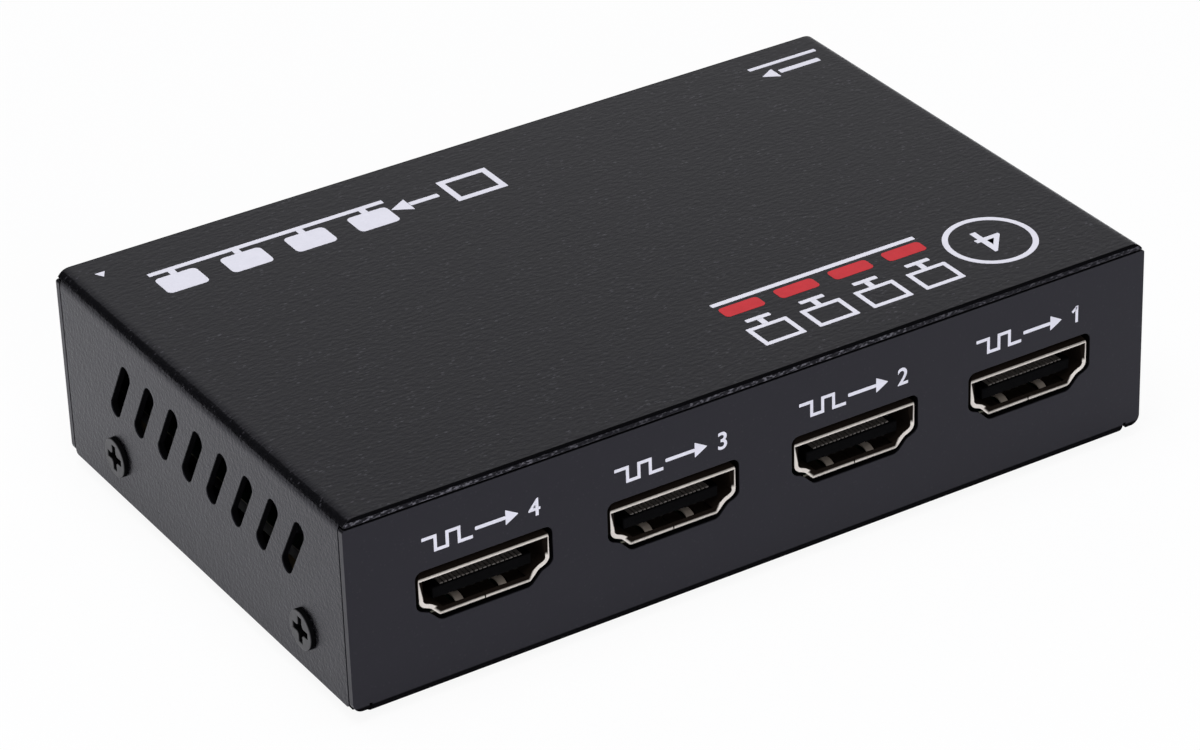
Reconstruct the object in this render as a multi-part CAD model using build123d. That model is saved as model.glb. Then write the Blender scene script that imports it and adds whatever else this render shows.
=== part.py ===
from build123d import *
import os

# A video signal splitter in a folded steel case: four output sockets, one input socket.
# Every length is in millimetres. The splitter stands on z = 0, its outputs face -Y and its input faces +Y.
# Names that end in _share or _shares are fractions of the size that they follow.

# Case, a folded tray closed by a folded cover
case_width = 97.0
case_depth = 61.0
case_height = 23.1
sheet = 0.8
cover_bend_radius = 1.6
cover_edge_rounding = 0.3
cover_corner_radius = 0.5
cover_hem_gap = 1.15
cover_fit_gap = 0.15
panel_top_gap = 0.2
panel_side_gap = 0.15
panel_corner_radius = 1.1
panel_top_corner_radius = 0.3
panel_wing_width = 1.85
panel_wing_lift = 0.95
tray_bend_radius = 1.6
tray_relief_depth = 2.0
tray_relief_width = 0.3
least_radius_share = 0.1
overrun = 5.0

# Vent slots through both sides of the cover
vent_count = 8
vent_pitch = 5.26
vent_width = 2.1
vent_length = 6.0
vent_tilt = 30.0
vent_row_height = 14.8
vent_row_offset = -1.5

# Low-headed screws that hold the cover to the tray's tabs
cover_screw_spacing_share = 0.656
cover_screw_row_offset = -1.15
cover_screw_height = 6.0
cover_screw_head_radius = 2.2
cover_screw_head_height = 0.5
cover_screw_rounding = 0.12
cover_screw_radius = 1.22
cover_screw_length = 4.0
cross_width = 0.6
cross_span = 2.7
cross_depth = 1.0
cross_taper = 0.25
thread_gap = 0.05
tab_width = 12.0
tab_height = 9.0
collar_radius = 2.3
collar_length = 1.2

# Rubber feet
foot_height = 0.5
foot_radius = 4.0
foot_inset_x = 7.5
foot_inset_y = 6.5
foot_edge_rounding = 0.25

# Circuit board on four standoffs
board_thickness = 1.6
board_side_gap = 4.8
board_panel_gap = 0.6
board_corner_radius = 1.0
standoff_height = 6.2
standoff_radius = 3.0
standoff_sides = 6
standoff_bore_radius = 1.5
standoff_shank_radius = 2.1
standoff_shank_gap = 0.03
mount_inset_rear = 4.1
mount_x_share = 0.46
mount_front_share = -0.122
mount_hole_radius = 1.65
board_screw_radius = 1.45
board_screw_length = 5.0
board_screw_head_radius = 2.75
board_screw_head_height = 2.0
board_screw_rounding = 0.6
pin_reach = 0.8
pin_hole_gap = 0.15

# Video sockets
output_count = 4
output_pitch_share = 0.2289
output_row_share = 0.0036
input_place_share = 0.0206
socket_recess = 0.1
socket_width = 15.0
socket_height = 5.5
socket_length = 12.0
socket_wall = 0.45
socket_shoulder_height = 1.75
socket_shoulder_inset = 1.25
socket_step_height = 1.25
socket_base_inset = 2.45
socket_corner_radius = 0.85
socket_cutout_gap = 0.38
socket_seam = 0.1
socket_leg_width = 1.3
socket_leg_front = 3.0
socket_leg_inset = 1.2
socket_leg_overlap = 0.7
spring_count = 2
spring_spacing = 5.0
spring_width = 1.1
spring_window_gap = 0.2
spring_front = 0.8
spring_back_gap = 1.0
spring_thickness = 0.2
spring_rise = 0.45
spring_root = 0.4

# Insulator with its tongue, and the socket's contacts
block_length = 5.2
block_inset = 0.4
block_gap = 0.05
tongue_width = 11.4
tongue_thickness = 1.3
tongue_height = 1.85
tongue_recess = 0.5
tongue_chamfer = 0.2
contact_pitch = 1.0
upper_contact_count = 10
lower_contact_count = 9
contact_width = 0.4
contact_thickness = 0.15
contact_recess = 0.2
contact_gap = 0.02
contact_drop = 0.7
contact_foot = 1.1

# Power jack with a centre pin
jack_place_share = 0.314
jack_width = 9.0
jack_height = 10.6
jack_length = 13.5
jack_recess = 0.1
jack_axis_height = 6.0
jack_nose_radius = 4.0
jack_nose_gap = 0.15
jack_bore_radius = 3.15
jack_bore_depth = 10.5
jack_panel_gap = 0.2
jack_edge_rounding = 0.5
jack_pin_radius = 1.0
jack_pin_recess = 1.2
jack_pin_rounding = 0.5
jack_pin_gap = 0.02
jack_blade_width = 2.4
jack_blade_thickness = 0.4
jack_leaf_width = 2.2
jack_leaf_thickness = 0.25
jack_leaf_start = 2.4
jack_leaf_end = 8.4
jack_leaf_rise = 0.45
jack_leaf_gap = 0.05
jack_side_blade_height = 5.0
jack_side_blade_place = 9.0

# Slide switch
switch_place_share = 0.1856
switch_length = 8.6
switch_height = 4.2
switch_depth = 4.4
switch_wall = 0.3
switch_panel_gap = 0.2
switch_base_depth = 1.8
switch_travel = 2.0
switch_gap = 0.05
slider_length = 4.4
slider_depth = 1.4
knob_width = 2.0
knob_height = 1.8
knob_reach = 1.6
knob_edge_rounding = 0.2
knob_groove_count = 3
knob_groove_pitch = 0.5
knob_groove_width = 0.25
knob_groove_depth = 0.15
panel_slot_gap = 0.3
wiper_thickness = 0.2
wiper_length = 3.6
wiper_height = 1.8
wiper_bump_count = 2
wiper_bump_radius = 0.35
terminal_count = 3
terminal_pitch = 2.5
terminal_width = 1.2
terminal_thickness = 0.3
terminal_height = 2.0
terminal_leg_width = 0.6
frame_leg_width = 1.0

# Indicator lamps
lamp_count = 5
lamp_pitch_share = 0.0515
lamp_row_share = -0.2423
lamp_radius = 1.5
lamp_reach = 0.6
lamp_length = 4.6
lamp_height = 5.2
lamp_flange_radius = 1.9
lamp_flange_length = 0.8
lamp_hole_gap = 0.1
lead_count = 2
lead_size = 0.5
lead_spacing = 2.54
lead_run = 1.6

# Splitter chip, its heat sink and the pad between them
chip_size = 14.0
chip_height = 1.4
chip_standoff = 0.1
chip_place_shares = (0.023, -0.009)
chip_lead_count = 16
chip_lead_pitch = 0.8
chip_lead_width = 0.35
chip_lead_thickness = 0.15
chip_lead_shoulder = 0.5
chip_lead_foot = 0.6
chip_edge_chamfer = 0.3
pad_thickness = 0.3
sink_size = 16.0
sink_height = 5.0
sink_plate = 1.5
fin_count = 7
fin_thickness = 1.0

# Smaller electronics
control_length = 9.9
control_width = 3.9
control_height = 1.5
control_lead_count = 8
control_lead_pitch = 1.27
memory_length = 4.9
memory_lead_count = 4
regulator_length = 6.5
regulator_width = 3.5
regulator_height = 1.6
regulator_lead_count = 3
regulator_lead_pitch = 2.3
regulator_tab_width = 3.0
inductor_size = 6.0
inductor_height = 3.0
inductor_corner_radius = 1.2
can_radius = 3.15
can_height = 6.2
can_base_size = 6.6
can_base_height = 1.2
can_base_bevel = 1.1
can_rounding = 0.5
crystal_length = 11.0
crystal_width = 4.6
crystal_height = 3.6
crystal_flange = 0.4
crystal_flange_height = 0.5
fuse_length = 4.5
fuse_width = 3.2
fuse_height = 1.0
guard_length = 2.5
guard_width = 1.0
guard_height = 0.6
guard_count = 2
guard_spacing = 5.4
guard_row_gap = 0.9
bit_length = 1.6
bit_width = 0.8
capacitor_height = 0.8
resistor_height = 0.45
bit_row_gap = 2.2
bit_column_gap = 3.0
bit_row_count = 6
bit_row_pitch = 2.4
lamp_resistor_gap = 2.4
control_place_shares = (-0.29, -0.06)
memory_place_shares = ((-0.40, 0.02), (-0.40, 0.16))
crystal_place_shares = (-0.27, 0.13)
regulator_place_shares = (0.43, 0.01)
inductor_place_shares = (0.31, -0.04)
can_place_shares = ((0.40, 0.15), (0.29, 0.15))
fuse_place_shares = (0.24, 0.28)

# Levels and faces that the sizes above give
tray_floor = foot_height + sheet
board_bottom = tray_floor + standoff_height
board_top = board_bottom + board_thickness
cover_top = foot_height + case_height
cover_inner_radius = max(cover_bend_radius - sheet, sheet * least_radius_share)
cover_bottom = foot_height + cover_hem_gap
case_back = case_depth / 2
side_end = case_back - sheet - panel_side_gap
panel_top = cover_top - sheet - panel_top_gap
tray_width = case_width - 2 * (sheet + cover_fit_gap)
board_width = case_width - 2 * board_side_gap
board_depth = case_depth - 2 * (sheet + board_panel_gap)
pin_depth = board_thickness + pin_reach
block_back = socket_length - block_inset
block_front = block_back - block_length
spring_back = block_front - spring_back_gap
contact_back = socket_length + contact_drop


# Shapes used throughout

def block(x_span, y_span, z_span):
    """A box between two places along each axis."""
    low = (x_span[0], y_span[0], z_span[0])
    size = (x_span[1] - x_span[0], y_span[1] - y_span[0], z_span[1] - z_span[0])
    return Pos(*low) * Box(*size, align=(Align.MIN, Align.MIN, Align.MIN))


def centred(width):
    """The span of a width that is centred on zero."""
    return (-width / 2, width / 2)


def spread(count, pitch):
    """Evenly spaced places, centred on zero."""
    return [(index - (count - 1) / 2) * pitch for index in range(count)]


def rod(radius, axis, start, end):
    """A round bar along an axis, 'x', 'y' or 'z', from start to end."""
    turn = {"x": Rot(0, 90, 0), "y": Rot(-90, 0, 0), "z": Rot(0, 0, 0)}[axis]
    lift = Pos(0, 0, start)
    return turn * lift * Cylinder(radius, end - start, align=(Align.CENTER, Align.CENTER, Align.MIN))


def strip(points, thickness, width):
    """A flat metal strip folded square, through points (y, z), centred on x = 0."""
    half = thickness / 2
    runs = []
    for (y1, z1), (y2, z2) in zip(points, points[1:]):
        y_span = (min(y1, y2) - half, max(y1, y2) + half)
        z_span = (min(z1, z2) - half, max(z1, z2) + half)
        runs.append(block(centred(width), y_span, z_span))
    return runs[0].fuse(*runs[1:]).clean() if len(runs) > 1 else runs[0]


def front_place(x):
    """Where a front connector's own frame sits: mouth on the front panel's outer face."""
    return Pos(x, -case_back, board_top)


def rear_place(x):
    """Where a rear connector's own frame sits, turned to face +Y."""
    return Pos(x, case_back, board_top) * Rot(0, 0, 180)


def board_place(shares):
    """A place on the board's top, from shares of its width and depth."""
    return Pos(shares[0] * board_width, shares[1] * board_depth, board_top)


output_places = spread(output_count, output_pitch_share * case_width)
output_centres = [output_row_share * case_width + place for place in output_places]
input_centre = input_place_share * case_width
jack_centre = jack_place_share * case_width
switch_centre = switch_place_share * case_width
lamp_places = spread(lamp_count, lamp_pitch_share * case_width)
lamp_centres = [lamp_row_share * case_width + place for place in lamp_places]
cover_screw_ys = [cover_screw_row_offset + y for y in centred(cover_screw_spacing_share * case_depth)]
cover_screw_level = foot_height + cover_screw_height
standoff_x = mount_x_share * board_width
standoff_ys = (mount_front_share * board_depth, board_depth / 2 - mount_inset_rear)
standoff_places = [(side * standoff_x, y) for side in (-1, 1) for y in standoff_ys]


# Cover

def screw_axis(side, y):
    """The frame of a cover screw: z out of the case, origin on the cover's outer face."""
    return Plane(origin=(side * case_width / 2, y, cover_screw_level), x_dir=(0, 1, 0), z_dir=(side, 0, 0))


def screw_hole():
    """The hole of a cover screw, through cover, tab and collar."""
    return rod(cover_screw_radius + thread_gap, "z", -overrun, overrun)


def vent_slots():
    """The slanted slots, long enough to pass through both sides."""
    level = foot_height + vent_row_height
    slots = []
    for place in spread(vent_count, vent_pitch):
        profile = Plane.YZ * Pos(vent_row_offset + place, level) * Rot(0, 0, 90 + vent_tilt)
        slots.append(extrude(profile * SlotCenterToCenter(vent_length, vent_width), case_width, both=True))
    return slots


def top_cover():
    """The top and both sides, one sheet bent twice."""
    outer = block(centred(case_width), centred(case_depth), (cover_bottom, cover_top))
    outer = fillet(outer.edges().filter_by(Axis.Y).group_by(Axis.Z)[-1], cover_bend_radius)
    ends = outer.faces().sort_by(Axis.Y)
    rims = [edge for face in (ends[0], ends[-1]) for edge in face.edges().sort_by(Axis.Z)[1:]]
    outer = fillet(rims, cover_edge_rounding)
    room = block(centred(case_width - 2 * sheet), centred(case_depth + 2 * overrun),
                 (cover_bottom - overrun, cover_top - sheet))
    room = fillet(room.edges().filter_by(Axis.Y).group_by(Axis.Z)[-1], cover_inner_radius)
    cover = outer - room - vent_slots() - side_end_cuts() - lower_corner_cuts()
    for side in (-1, 1):
        for y in cover_screw_ys:
            cover -= screw_axis(side, y) * screw_hole()
    return cover


def side_end_cuts():
    """What is taken off the ends of the cover's sides, so that they stop behind the panels."""
    cuts = []
    for side in (-1, 1):
        y_span = sorted((side * side_end, side * (case_back + overrun)))
        cuts.append(block(centred(case_width + overrun), y_span, (cover_bottom - overrun, cover_top - sheet)))
    return cuts


def lower_corner_cuts():
    """What is taken off the free lower corners of the cover's sides to leave them round."""
    radius = cover_corner_radius
    cuts = []
    for side in (-1, 1):
        y_span = sorted((side * (side_end - radius), side * (side_end + overrun)))
        corner = block(centred(case_width + overrun), y_span, (cover_bottom - overrun, cover_bottom + radius))
        keep = rod(radius, "x", *centred(case_width + 2 * overrun))
        cuts.append(corner - Pos(0, side * (side_end - radius), cover_bottom + radius) * keep)
    return cuts


# Tray

def tray_relief_cuts():
    """What is taken off the tray's four corners beside its bends."""
    bend_end = case_width / 2 - panel_wing_width - tray_relief_width
    cuts = []
    for side_x in (-1, 1):
        for side_y in (-1, 1):
            x_span = sorted((side_x * bend_end, side_x * (tray_width / 2 + overrun)))
            y_span = sorted((side_y * (case_back - tray_relief_depth), side_y * (case_back + overrun)))
            cuts.append(block(x_span, y_span, (foot_height - overrun, panel_top + overrun)))
    return cuts


def panel(side):
    """The front or rear panel as wide as the case, above the bend and with a wing at each of its ends."""
    y_span = sorted((side * (case_back - sheet), side * case_back))
    plate = block(centred(case_width), y_span, (foot_height + panel_wing_lift, panel_top))
    plate = fillet(plate.edges().filter_by(Axis.Y).group_by(Axis.Z)[0], panel_corner_radius)
    plate = fillet(plate.edges().filter_by(Axis.Y).group_by(Axis.Z)[-1], panel_top_corner_radius)
    bend_room = block(centred(case_width - 2 * panel_wing_width), centred(case_depth + overrun),
                      (foot_height - overrun, foot_height + tray_bend_radius))
    return plate - bend_room


def tray_tab(side, y):
    """A tab at the tray's side with a collared hole for a cover screw."""
    outer_x = side * tray_width / 2
    inner_x = outer_x - side * sheet
    tab = block(sorted((inner_x, outer_x)), (y - tab_width / 2, y + tab_width / 2),
                (foot_height, foot_height + tab_height))
    collar_end = inner_x - side * collar_length
    collar = Pos(0, y, cover_screw_level) * rod(collar_radius, "x", *sorted((collar_end, inner_x)))
    return tab + collar


def base_tray():
    """The bottom, front panel and rear panel, one sheet bent twice, with four side tabs."""
    outer = block(centred(tray_width), centred(case_depth), (foot_height, panel_top))
    outer = fillet(outer.edges().filter_by(Axis.X).group_by(Axis.Z)[0], tray_bend_radius)
    room = block(centred(tray_width + 2 * overrun), centred(case_depth - 2 * sheet),
                 (tray_floor, panel_top + overrun))
    inner_radius = max(tray_bend_radius - sheet, sheet * least_radius_share)
    room = fillet(room.edges().filter_by(Axis.X).group_by(Axis.Z)[0], inner_radius)
    tray = outer - room - tray_relief_cuts() + panel(-1) + panel(1)
    screw_places = [(side, y) for side in (-1, 1) for y in cover_screw_ys]
    for side, y in screw_places:
        tray += tray_tab(side, y)
    for side, y in screw_places:
        tray -= screw_axis(side, y) * screw_hole()
    shank_hole = rod(standoff_shank_radius + standoff_shank_gap, "z", 0, board_bottom)
    for x, y in standoff_places:
        tray -= Pos(x, y) * shank_hole
    return tray - front_cutouts() - rear_cutouts()


def front_cutouts():
    """The holes in the front panel for the output sockets."""
    return [front_place(x) * socket_cutout() for x in output_centres]


def rear_cutouts():
    """The holes in the rear panel for the input socket, jack, switch and lamps."""
    cuts = [rear_place(input_centre) * socket_cutout()]
    jack_hole = rod(jack_nose_radius + jack_nose_gap, "y", -overrun, overrun / 2)
    cuts.append(rear_place(jack_centre) * Pos(0, 0, jack_axis_height) * jack_hole)
    slot = block(centred(knob_width + switch_travel + 2 * panel_slot_gap), centred(overrun),
                 centred(knob_height + 2 * panel_slot_gap))
    cuts.append(rear_place(switch_centre) * Pos(0, 0, switch_height / 2) * slot)
    for x in lamp_centres:
        hole = rod(lamp_radius + lamp_hole_gap, "y", -overrun, overrun / 2)
        cuts.append(rear_place(x) * Pos(0, 0, lamp_height) * hole)
    return cuts


# Screws, standoffs and feet

def cross_recess(top):
    """The cross-shaped driver recess in a screw's head, from its top down."""
    wings = []
    for turn in (0, 90):
        plan = Rectangle(cross_span, cross_width)
        floor = Rectangle(cross_span * cross_taper, cross_width * cross_taper)
        wing = loft([Pos(0, 0, top) * plan, Pos(0, 0, top - cross_depth) * floor])
        wings.append(Rot(0, 0, turn) * wing)
    return wings[0] + wings[1]


def cover_screw():
    """A low-headed screw, the underside of its head at z = 0 and its thread downwards."""
    head = rod(cover_screw_head_radius, "z", 0, cover_screw_head_height)
    head = fillet(head.edges().group_by(Axis.Z)[-1], cover_screw_rounding)
    screw = head + rod(cover_screw_radius, "z", -cover_screw_length, 0)
    return screw - cross_recess(cover_screw_head_height)


def cover_screws():
    """The four screws in the cover's sides."""
    screw = cover_screw()
    return [screw_axis(side, y) * screw for side in (-1, 1) for y in cover_screw_ys]


def board_screws():
    """The four pan-head screws that hold the board down."""
    head = rod(board_screw_head_radius, "z", 0, board_screw_head_height)
    head = fillet(head.edges().group_by(Axis.Z)[-1], board_screw_rounding)
    screw = head + rod(board_screw_radius, "z", -board_screw_length, 0)
    screw -= cross_recess(board_screw_head_height)
    return [Pos(x, y, board_top) * screw for x, y in standoff_places]


def board_standoffs():
    """The four threaded standoffs, each pressed into a hole in the tray."""
    body = Pos(0, 0, tray_floor) * extrude(RegularPolygon(standoff_radius, standoff_sides), standoff_height)
    standoff = body + rod(standoff_shank_radius, "z", foot_height, tray_floor)
    standoff -= rod(standoff_bore_radius, "z", 0, board_top)
    return [Pos(x, y) * standoff for x, y in standoff_places]


def rubber_feet():
    """Four round stick-on feet."""
    foot = rod(foot_radius, "z", 0, foot_height)
    foot = fillet(foot.edges().group_by(Axis.Z)[0], foot_edge_rounding)
    x = case_width / 2 - foot_inset_x
    y = case_depth / 2 - foot_inset_y
    return [Pos(side_x * x, side_y * y) * foot for side_x in (-1, 1) for side_y in (-1, 1)]


# Video sockets, modelled in their own frame: mouth at y = 0 facing -Y, board at z = 0

def socket_outline(grow):
    """The outline of a socket's mouth, wide at the top, grown by a gap or shrunk by a wall."""
    half = socket_width / 2
    side = [(half, socket_height), (half, socket_shoulder_height),
            (half - socket_shoulder_inset, socket_step_height), (half - socket_base_inset, 0)]
    points = side + [(-x, z) for x, z in reversed(side)]
    face = make_face(Polyline(*points, close=True))
    face = fillet(face.vertices(), socket_corner_radius)
    return Plane.XZ * (offset(face, grow) if grow else face)


def socket_cutout():
    """The hole for a socket, to be taken from a panel whose outer face is at y = 0."""
    return extrude(socket_outline(socket_cutout_gap), overrun / 2, both=True)


def spring_finger(x, level, rise):
    """A strip cut from the shell's wall that bends into the mouth, with its window's box."""
    edge = [(spring_back + spring_root, level), (spring_back, level), (spring_front, level + rise)]
    top = [(y, z + spring_thickness * (1 if rise > 0 else -1)) for y, z in reversed(edge)]
    profile = make_face(Plane.YZ * Polyline(*edge, *top, close=True))
    finger = extrude(profile, spring_width / 2, both=True)
    window = block(centred(spring_width + 2 * spring_window_gap), (spring_front, spring_back),
                   (level - socket_wall, level + socket_wall))
    return Pos(x) * finger, Pos(x) * window


def socket_shell():
    """The folded metal shell with its springs, seam and board legs."""
    outer = extrude(socket_outline(0), -socket_length)
    inner = extrude(socket_outline(-socket_wall), -socket_length - overrun)
    inner += extrude(socket_outline(-socket_wall), overrun)
    shell = outer - inner
    lower = (socket_wall - spring_thickness) / 2
    upper = socket_height - lower
    for x in spread(spring_count, spring_spacing):
        for level, rise in ((lower, spring_rise), (upper, -spring_rise)):
            finger, window = spring_finger(x, level, rise)
            shell = shell - window + finger
    shell -= block(centred(socket_seam), (-overrun, socket_length + overrun), (-overrun, socket_wall * 2))
    for leg in socket_legs(0):
        shell += leg
    return Pos(0, socket_recess) * shell


def socket_legs(gap):
    """The four legs that pass through the board, or their slots when a gap is given."""
    legs = []
    top = 0 if gap else socket_shoulder_height + socket_leg_overlap
    rear_leg = socket_length - socket_leg_inset - socket_leg_width
    for side in (-1, 1):
        for y in (socket_leg_front, rear_leg):
            edge = side * socket_width / 2
            inner = edge - side * socket_wall
            low_x, high_x = sorted((edge, inner))
            legs.append(block((low_x - gap, high_x + gap), (y - gap, y + socket_leg_width + gap),
                              (-pin_depth - gap, top)))
    return legs


def contact_rows():
    """For each row of contacts: its places along x and its level."""
    upper_level = tongue_height + tongue_thickness + contact_thickness / 2
    lower_level = tongue_height - contact_thickness / 2
    return [(spread(upper_contact_count, contact_pitch), upper_level),
            (spread(lower_contact_count, contact_pitch), lower_level)]


def socket_contacts():
    """Nineteen contacts that lie on the tongue, pass through the block and stand on the board."""
    start = tongue_recess + contact_recess + contact_thickness / 2
    floor = contact_thickness / 2
    contacts = []
    for places, level in contact_rows():
        path = [(start, level), (contact_back, level), (contact_back, floor),
                (contact_back + contact_foot, floor)]
        contact = strip(path, contact_thickness, contact_width)
        contacts += [Pos(x, socket_recess) * contact for x in places]
    return contacts


def contact_channels():
    """The room that the contacts take in the insulator."""
    width = contact_width + 2 * contact_gap
    channels = []
    half = contact_thickness / 2 + contact_gap
    span = (tongue_recess + contact_recess - contact_gap, contact_back)
    for places, level in contact_rows():
        channel = block(centred(width), span, (level - half, level + half))
        channels += [Pos(x) * channel for x in places]
    return channels


def socket_insulator():
    """The moulded block at the back of a socket, with the tongue that carries the contacts."""
    outline = socket_outline(-socket_wall - block_gap)
    body = extrude(outline, -block_back) - extrude(outline, -block_front)
    tongue = block(centred(tongue_width), (tongue_recess, block_front + tongue_chamfer),
                   (tongue_height, tongue_height + tongue_thickness))
    tongue = chamfer(tongue.faces().sort_by(Axis.Y)[0].edges(), tongue_chamfer)
    return Pos(0, socket_recess) * (body + tongue - contact_channels())


# Power jack, in the same kind of frame as the sockets

jack_back = jack_recess + jack_length
jack_leaf_level = jack_axis_height - jack_bore_radius + jack_leaf_rise
jack_leaf_path = [(jack_leaf_start, jack_leaf_level), (jack_leaf_end, jack_leaf_level),
                  (jack_leaf_end, -pin_depth)]


def power_jack_housing():
    """The moulded block with its round nose and the bore for the plug."""
    block_start = sheet + jack_panel_gap
    body = block(centred(jack_width), (block_start, jack_back), (0, jack_height))
    body = fillet(body.edges().filter_by(Axis.Y).group_by(Axis.Z)[-1], jack_edge_rounding)
    axis = Pos(0, 0, jack_axis_height)
    body += axis * rod(jack_nose_radius, "y", jack_recess, block_start)
    body -= axis * rod(jack_bore_radius, "y", jack_recess - overrun, jack_recess + jack_bore_depth)
    body -= axis * rod(jack_pin_radius + jack_pin_gap, "y", 0, jack_back + overrun)
    gap = 2 * jack_leaf_gap
    groove = strip(jack_leaf_path, jack_leaf_thickness + gap, jack_leaf_width + gap)
    return body - groove


def power_jack_pin():
    """The centre pin, joined to the blade that goes down to the board."""
    axis = Pos(0, 0, jack_axis_height)
    blade_end = jack_back + jack_blade_thickness
    pin = axis * rod(jack_pin_radius, "y", jack_recess + jack_pin_recess, blade_end)
    tip = pin.edges().group_by(Axis.Y)[0]
    pin = fillet(tip, jack_pin_rounding)
    blade = block(centred(jack_blade_width), (jack_back, blade_end),
                  (-pin_depth, jack_axis_height + jack_pin_radius))
    return pin + blade


def power_jack_contacts():
    """The sleeve spring under the plug, and the switched contact at the side."""
    leaf = strip(jack_leaf_path, jack_leaf_thickness, jack_leaf_width)
    edge = jack_width / 2
    blade = block((edge, edge + jack_blade_thickness),
                  (jack_side_blade_place, jack_side_blade_place + jack_blade_width),
                  (-pin_depth, jack_side_blade_height))
    return [leaf, blade]


def jack_pin_slots():
    """The slots in the board for the jack's three terminals."""
    gap = pin_hole_gap
    depth = (-pin_depth, 0)
    half_leaf = jack_leaf_thickness / 2
    edge = jack_width / 2
    return [
        block(centred(jack_blade_width + 2 * gap),
              (jack_back - gap, jack_back + jack_blade_thickness + gap), depth),
        block(centred(jack_leaf_width + 2 * gap),
              (jack_leaf_end - half_leaf - gap, jack_leaf_end + half_leaf + gap), depth),
        block((edge - gap, edge + jack_blade_thickness + gap),
              (jack_side_blade_place - gap, jack_side_blade_place + jack_blade_width + gap), depth),
    ]


# Slide switch, in the same kind of frame; its knob stands out of the panel

switch_front = sheet + switch_panel_gap
switch_back = switch_front + switch_depth
switch_middle = switch_height / 2
base_front = switch_back - switch_base_depth
slider_front = switch_front + switch_wall + switch_gap
slider_back = slider_front + slider_depth
terminal_face = base_front - terminal_thickness
slider_rest = switch_travel / 2


def switch_frame():
    """The folded steel frame: front, top, bottom and two board legs."""
    outer = block(centred(switch_length), (switch_front, switch_back), (0, switch_height))
    room = block(centred(switch_length + overrun), (switch_front + switch_wall, switch_back + overrun),
                 (switch_wall, switch_height - switch_wall))
    half_slot = knob_height / 2 + 2 * switch_gap
    slot = block(centred(knob_width + switch_travel + 4 * switch_gap), (0, slider_front),
                 (switch_middle - half_slot, switch_middle + half_slot))
    frame = outer - room - slot
    for leg in frame_legs(0):
        frame += leg
    span = terminal_leg_width / 2 + 2 * pin_hole_gap
    for x in spread(terminal_count, terminal_pitch):
        frame -= block((x - span, x + span), (terminal_face - pin_hole_gap, base_front + pin_hole_gap),
                       (-overrun, switch_wall))
    return frame


def frame_legs(gap):
    """The switch frame's two board legs, or their slots when a gap is given."""
    middle = (switch_front + switch_back) / 2
    legs = []
    for side in (-1, 1):
        edge = side * switch_length / 2
        low_x, high_x = sorted((edge, edge - side * switch_wall))
        legs.append(block((low_x - gap, high_x + gap),
                          (middle - frame_leg_width / 2 - gap, middle + frame_leg_width / 2 + gap),
                          (-pin_depth - gap, 0 if gap else switch_wall)))
    return legs


def switch_base():
    """The insulating base that closes the frame's back and holds the terminals."""
    return block(centred(switch_length), (base_front, switch_back), (switch_wall, switch_height - switch_wall))


def switch_slider():
    """The moulded slider and its grooved knob, at one end of its travel."""
    clear = switch_wall + 2 * switch_gap
    body = block(centred(slider_length), (slider_front, slider_back), (clear, switch_height - clear))
    knob = block(centred(knob_width), (-knob_reach, slider_back), centred(knob_height))
    knob = fillet(knob.faces().sort_by(Axis.Y)[0].edges(), knob_edge_rounding)
    groove = block(centred(knob_groove_width), (-knob_reach - overrun, knob_groove_depth - knob_reach),
                   centred(knob_height + overrun))
    for x in spread(knob_groove_count, knob_groove_pitch):
        knob -= Pos(x) * groove
    return Pos(slider_rest) * (body + Pos(0, 0, switch_middle) * knob)


def switch_wiper():
    """The metal bridge on the slider's back, with two bumps that run over the terminals."""
    face = slider_back + wiper_thickness
    plate = block(centred(wiper_length), (slider_back, face), centred(wiper_height))
    reach = terminal_face - switch_gap - face
    bumps = []
    for x in spread(wiper_bump_count, terminal_pitch):
        bump = Pos(x, face + reach - wiper_bump_radius) * rod(wiper_bump_radius, "z", *centred(wiper_height))
        bumps.append(bump & block(centred(case_width), (slider_back, terminal_face), centred(case_height)))
    return Pos(slider_rest, 0, switch_middle) * (plate + bumps[0] + bumps[1])


def switch_terminals():
    """Three fixed contacts in front of the base, each with a leg through the board."""
    terminals = []
    for x in spread(terminal_count, terminal_pitch):
        pad = block(centred(terminal_width), (terminal_face, base_front),
                    (switch_middle - terminal_height / 2, switch_middle + terminal_height / 2))
        leg = block(centred(terminal_leg_width), (terminal_face, base_front), (-pin_depth, switch_middle))
        terminals.append(Pos(x) * (pad + leg))
    return terminals


def switch_pin_slots():
    """The slots in the board for the switch's legs."""
    slots = frame_legs(pin_hole_gap)
    for x in spread(terminal_count, terminal_pitch):
        span = terminal_leg_width / 2 + pin_hole_gap
        slots.append(block((x - span, x + span), (terminal_face - pin_hole_gap, base_front + pin_hole_gap),
                           (-pin_depth, 0)))
    return slots


# Indicator lamps, in the same kind of frame

def lamp():
    """A round indicator lamp that looks out of the rear panel."""
    tip = -lamp_reach
    dome = Pos(0, tip + lamp_radius) * Sphere(lamp_radius)
    body = rod(lamp_radius, "y", tip + lamp_radius, lamp_length)
    flange = rod(lamp_flange_radius, "y", lamp_length - lamp_flange_length, lamp_length)
    return Pos(0, 0, lamp_height) * (dome + body + flange)


def lamp_lead_pair():
    """The lamp's two wires, bent down to the board."""
    half = lead_size / 2
    bend = lamp_length + lead_run
    path = [(lamp_length + half, lamp_height), (bend, lamp_height), (bend, -pin_depth)]
    lead = strip(path, lead_size, lead_size)
    return [Pos(x) * lead for x in spread(lead_count, lead_spacing)]


def lamp_lead_holes():
    """The holes in the board for a lamp's two wires."""
    bend = lamp_length + lead_run
    return [Pos(x, bend) * rod(lead_size + pin_hole_gap, "z", -pin_depth, 0) for x in spread(lead_count, lead_spacing)]


# Circuit board

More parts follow.
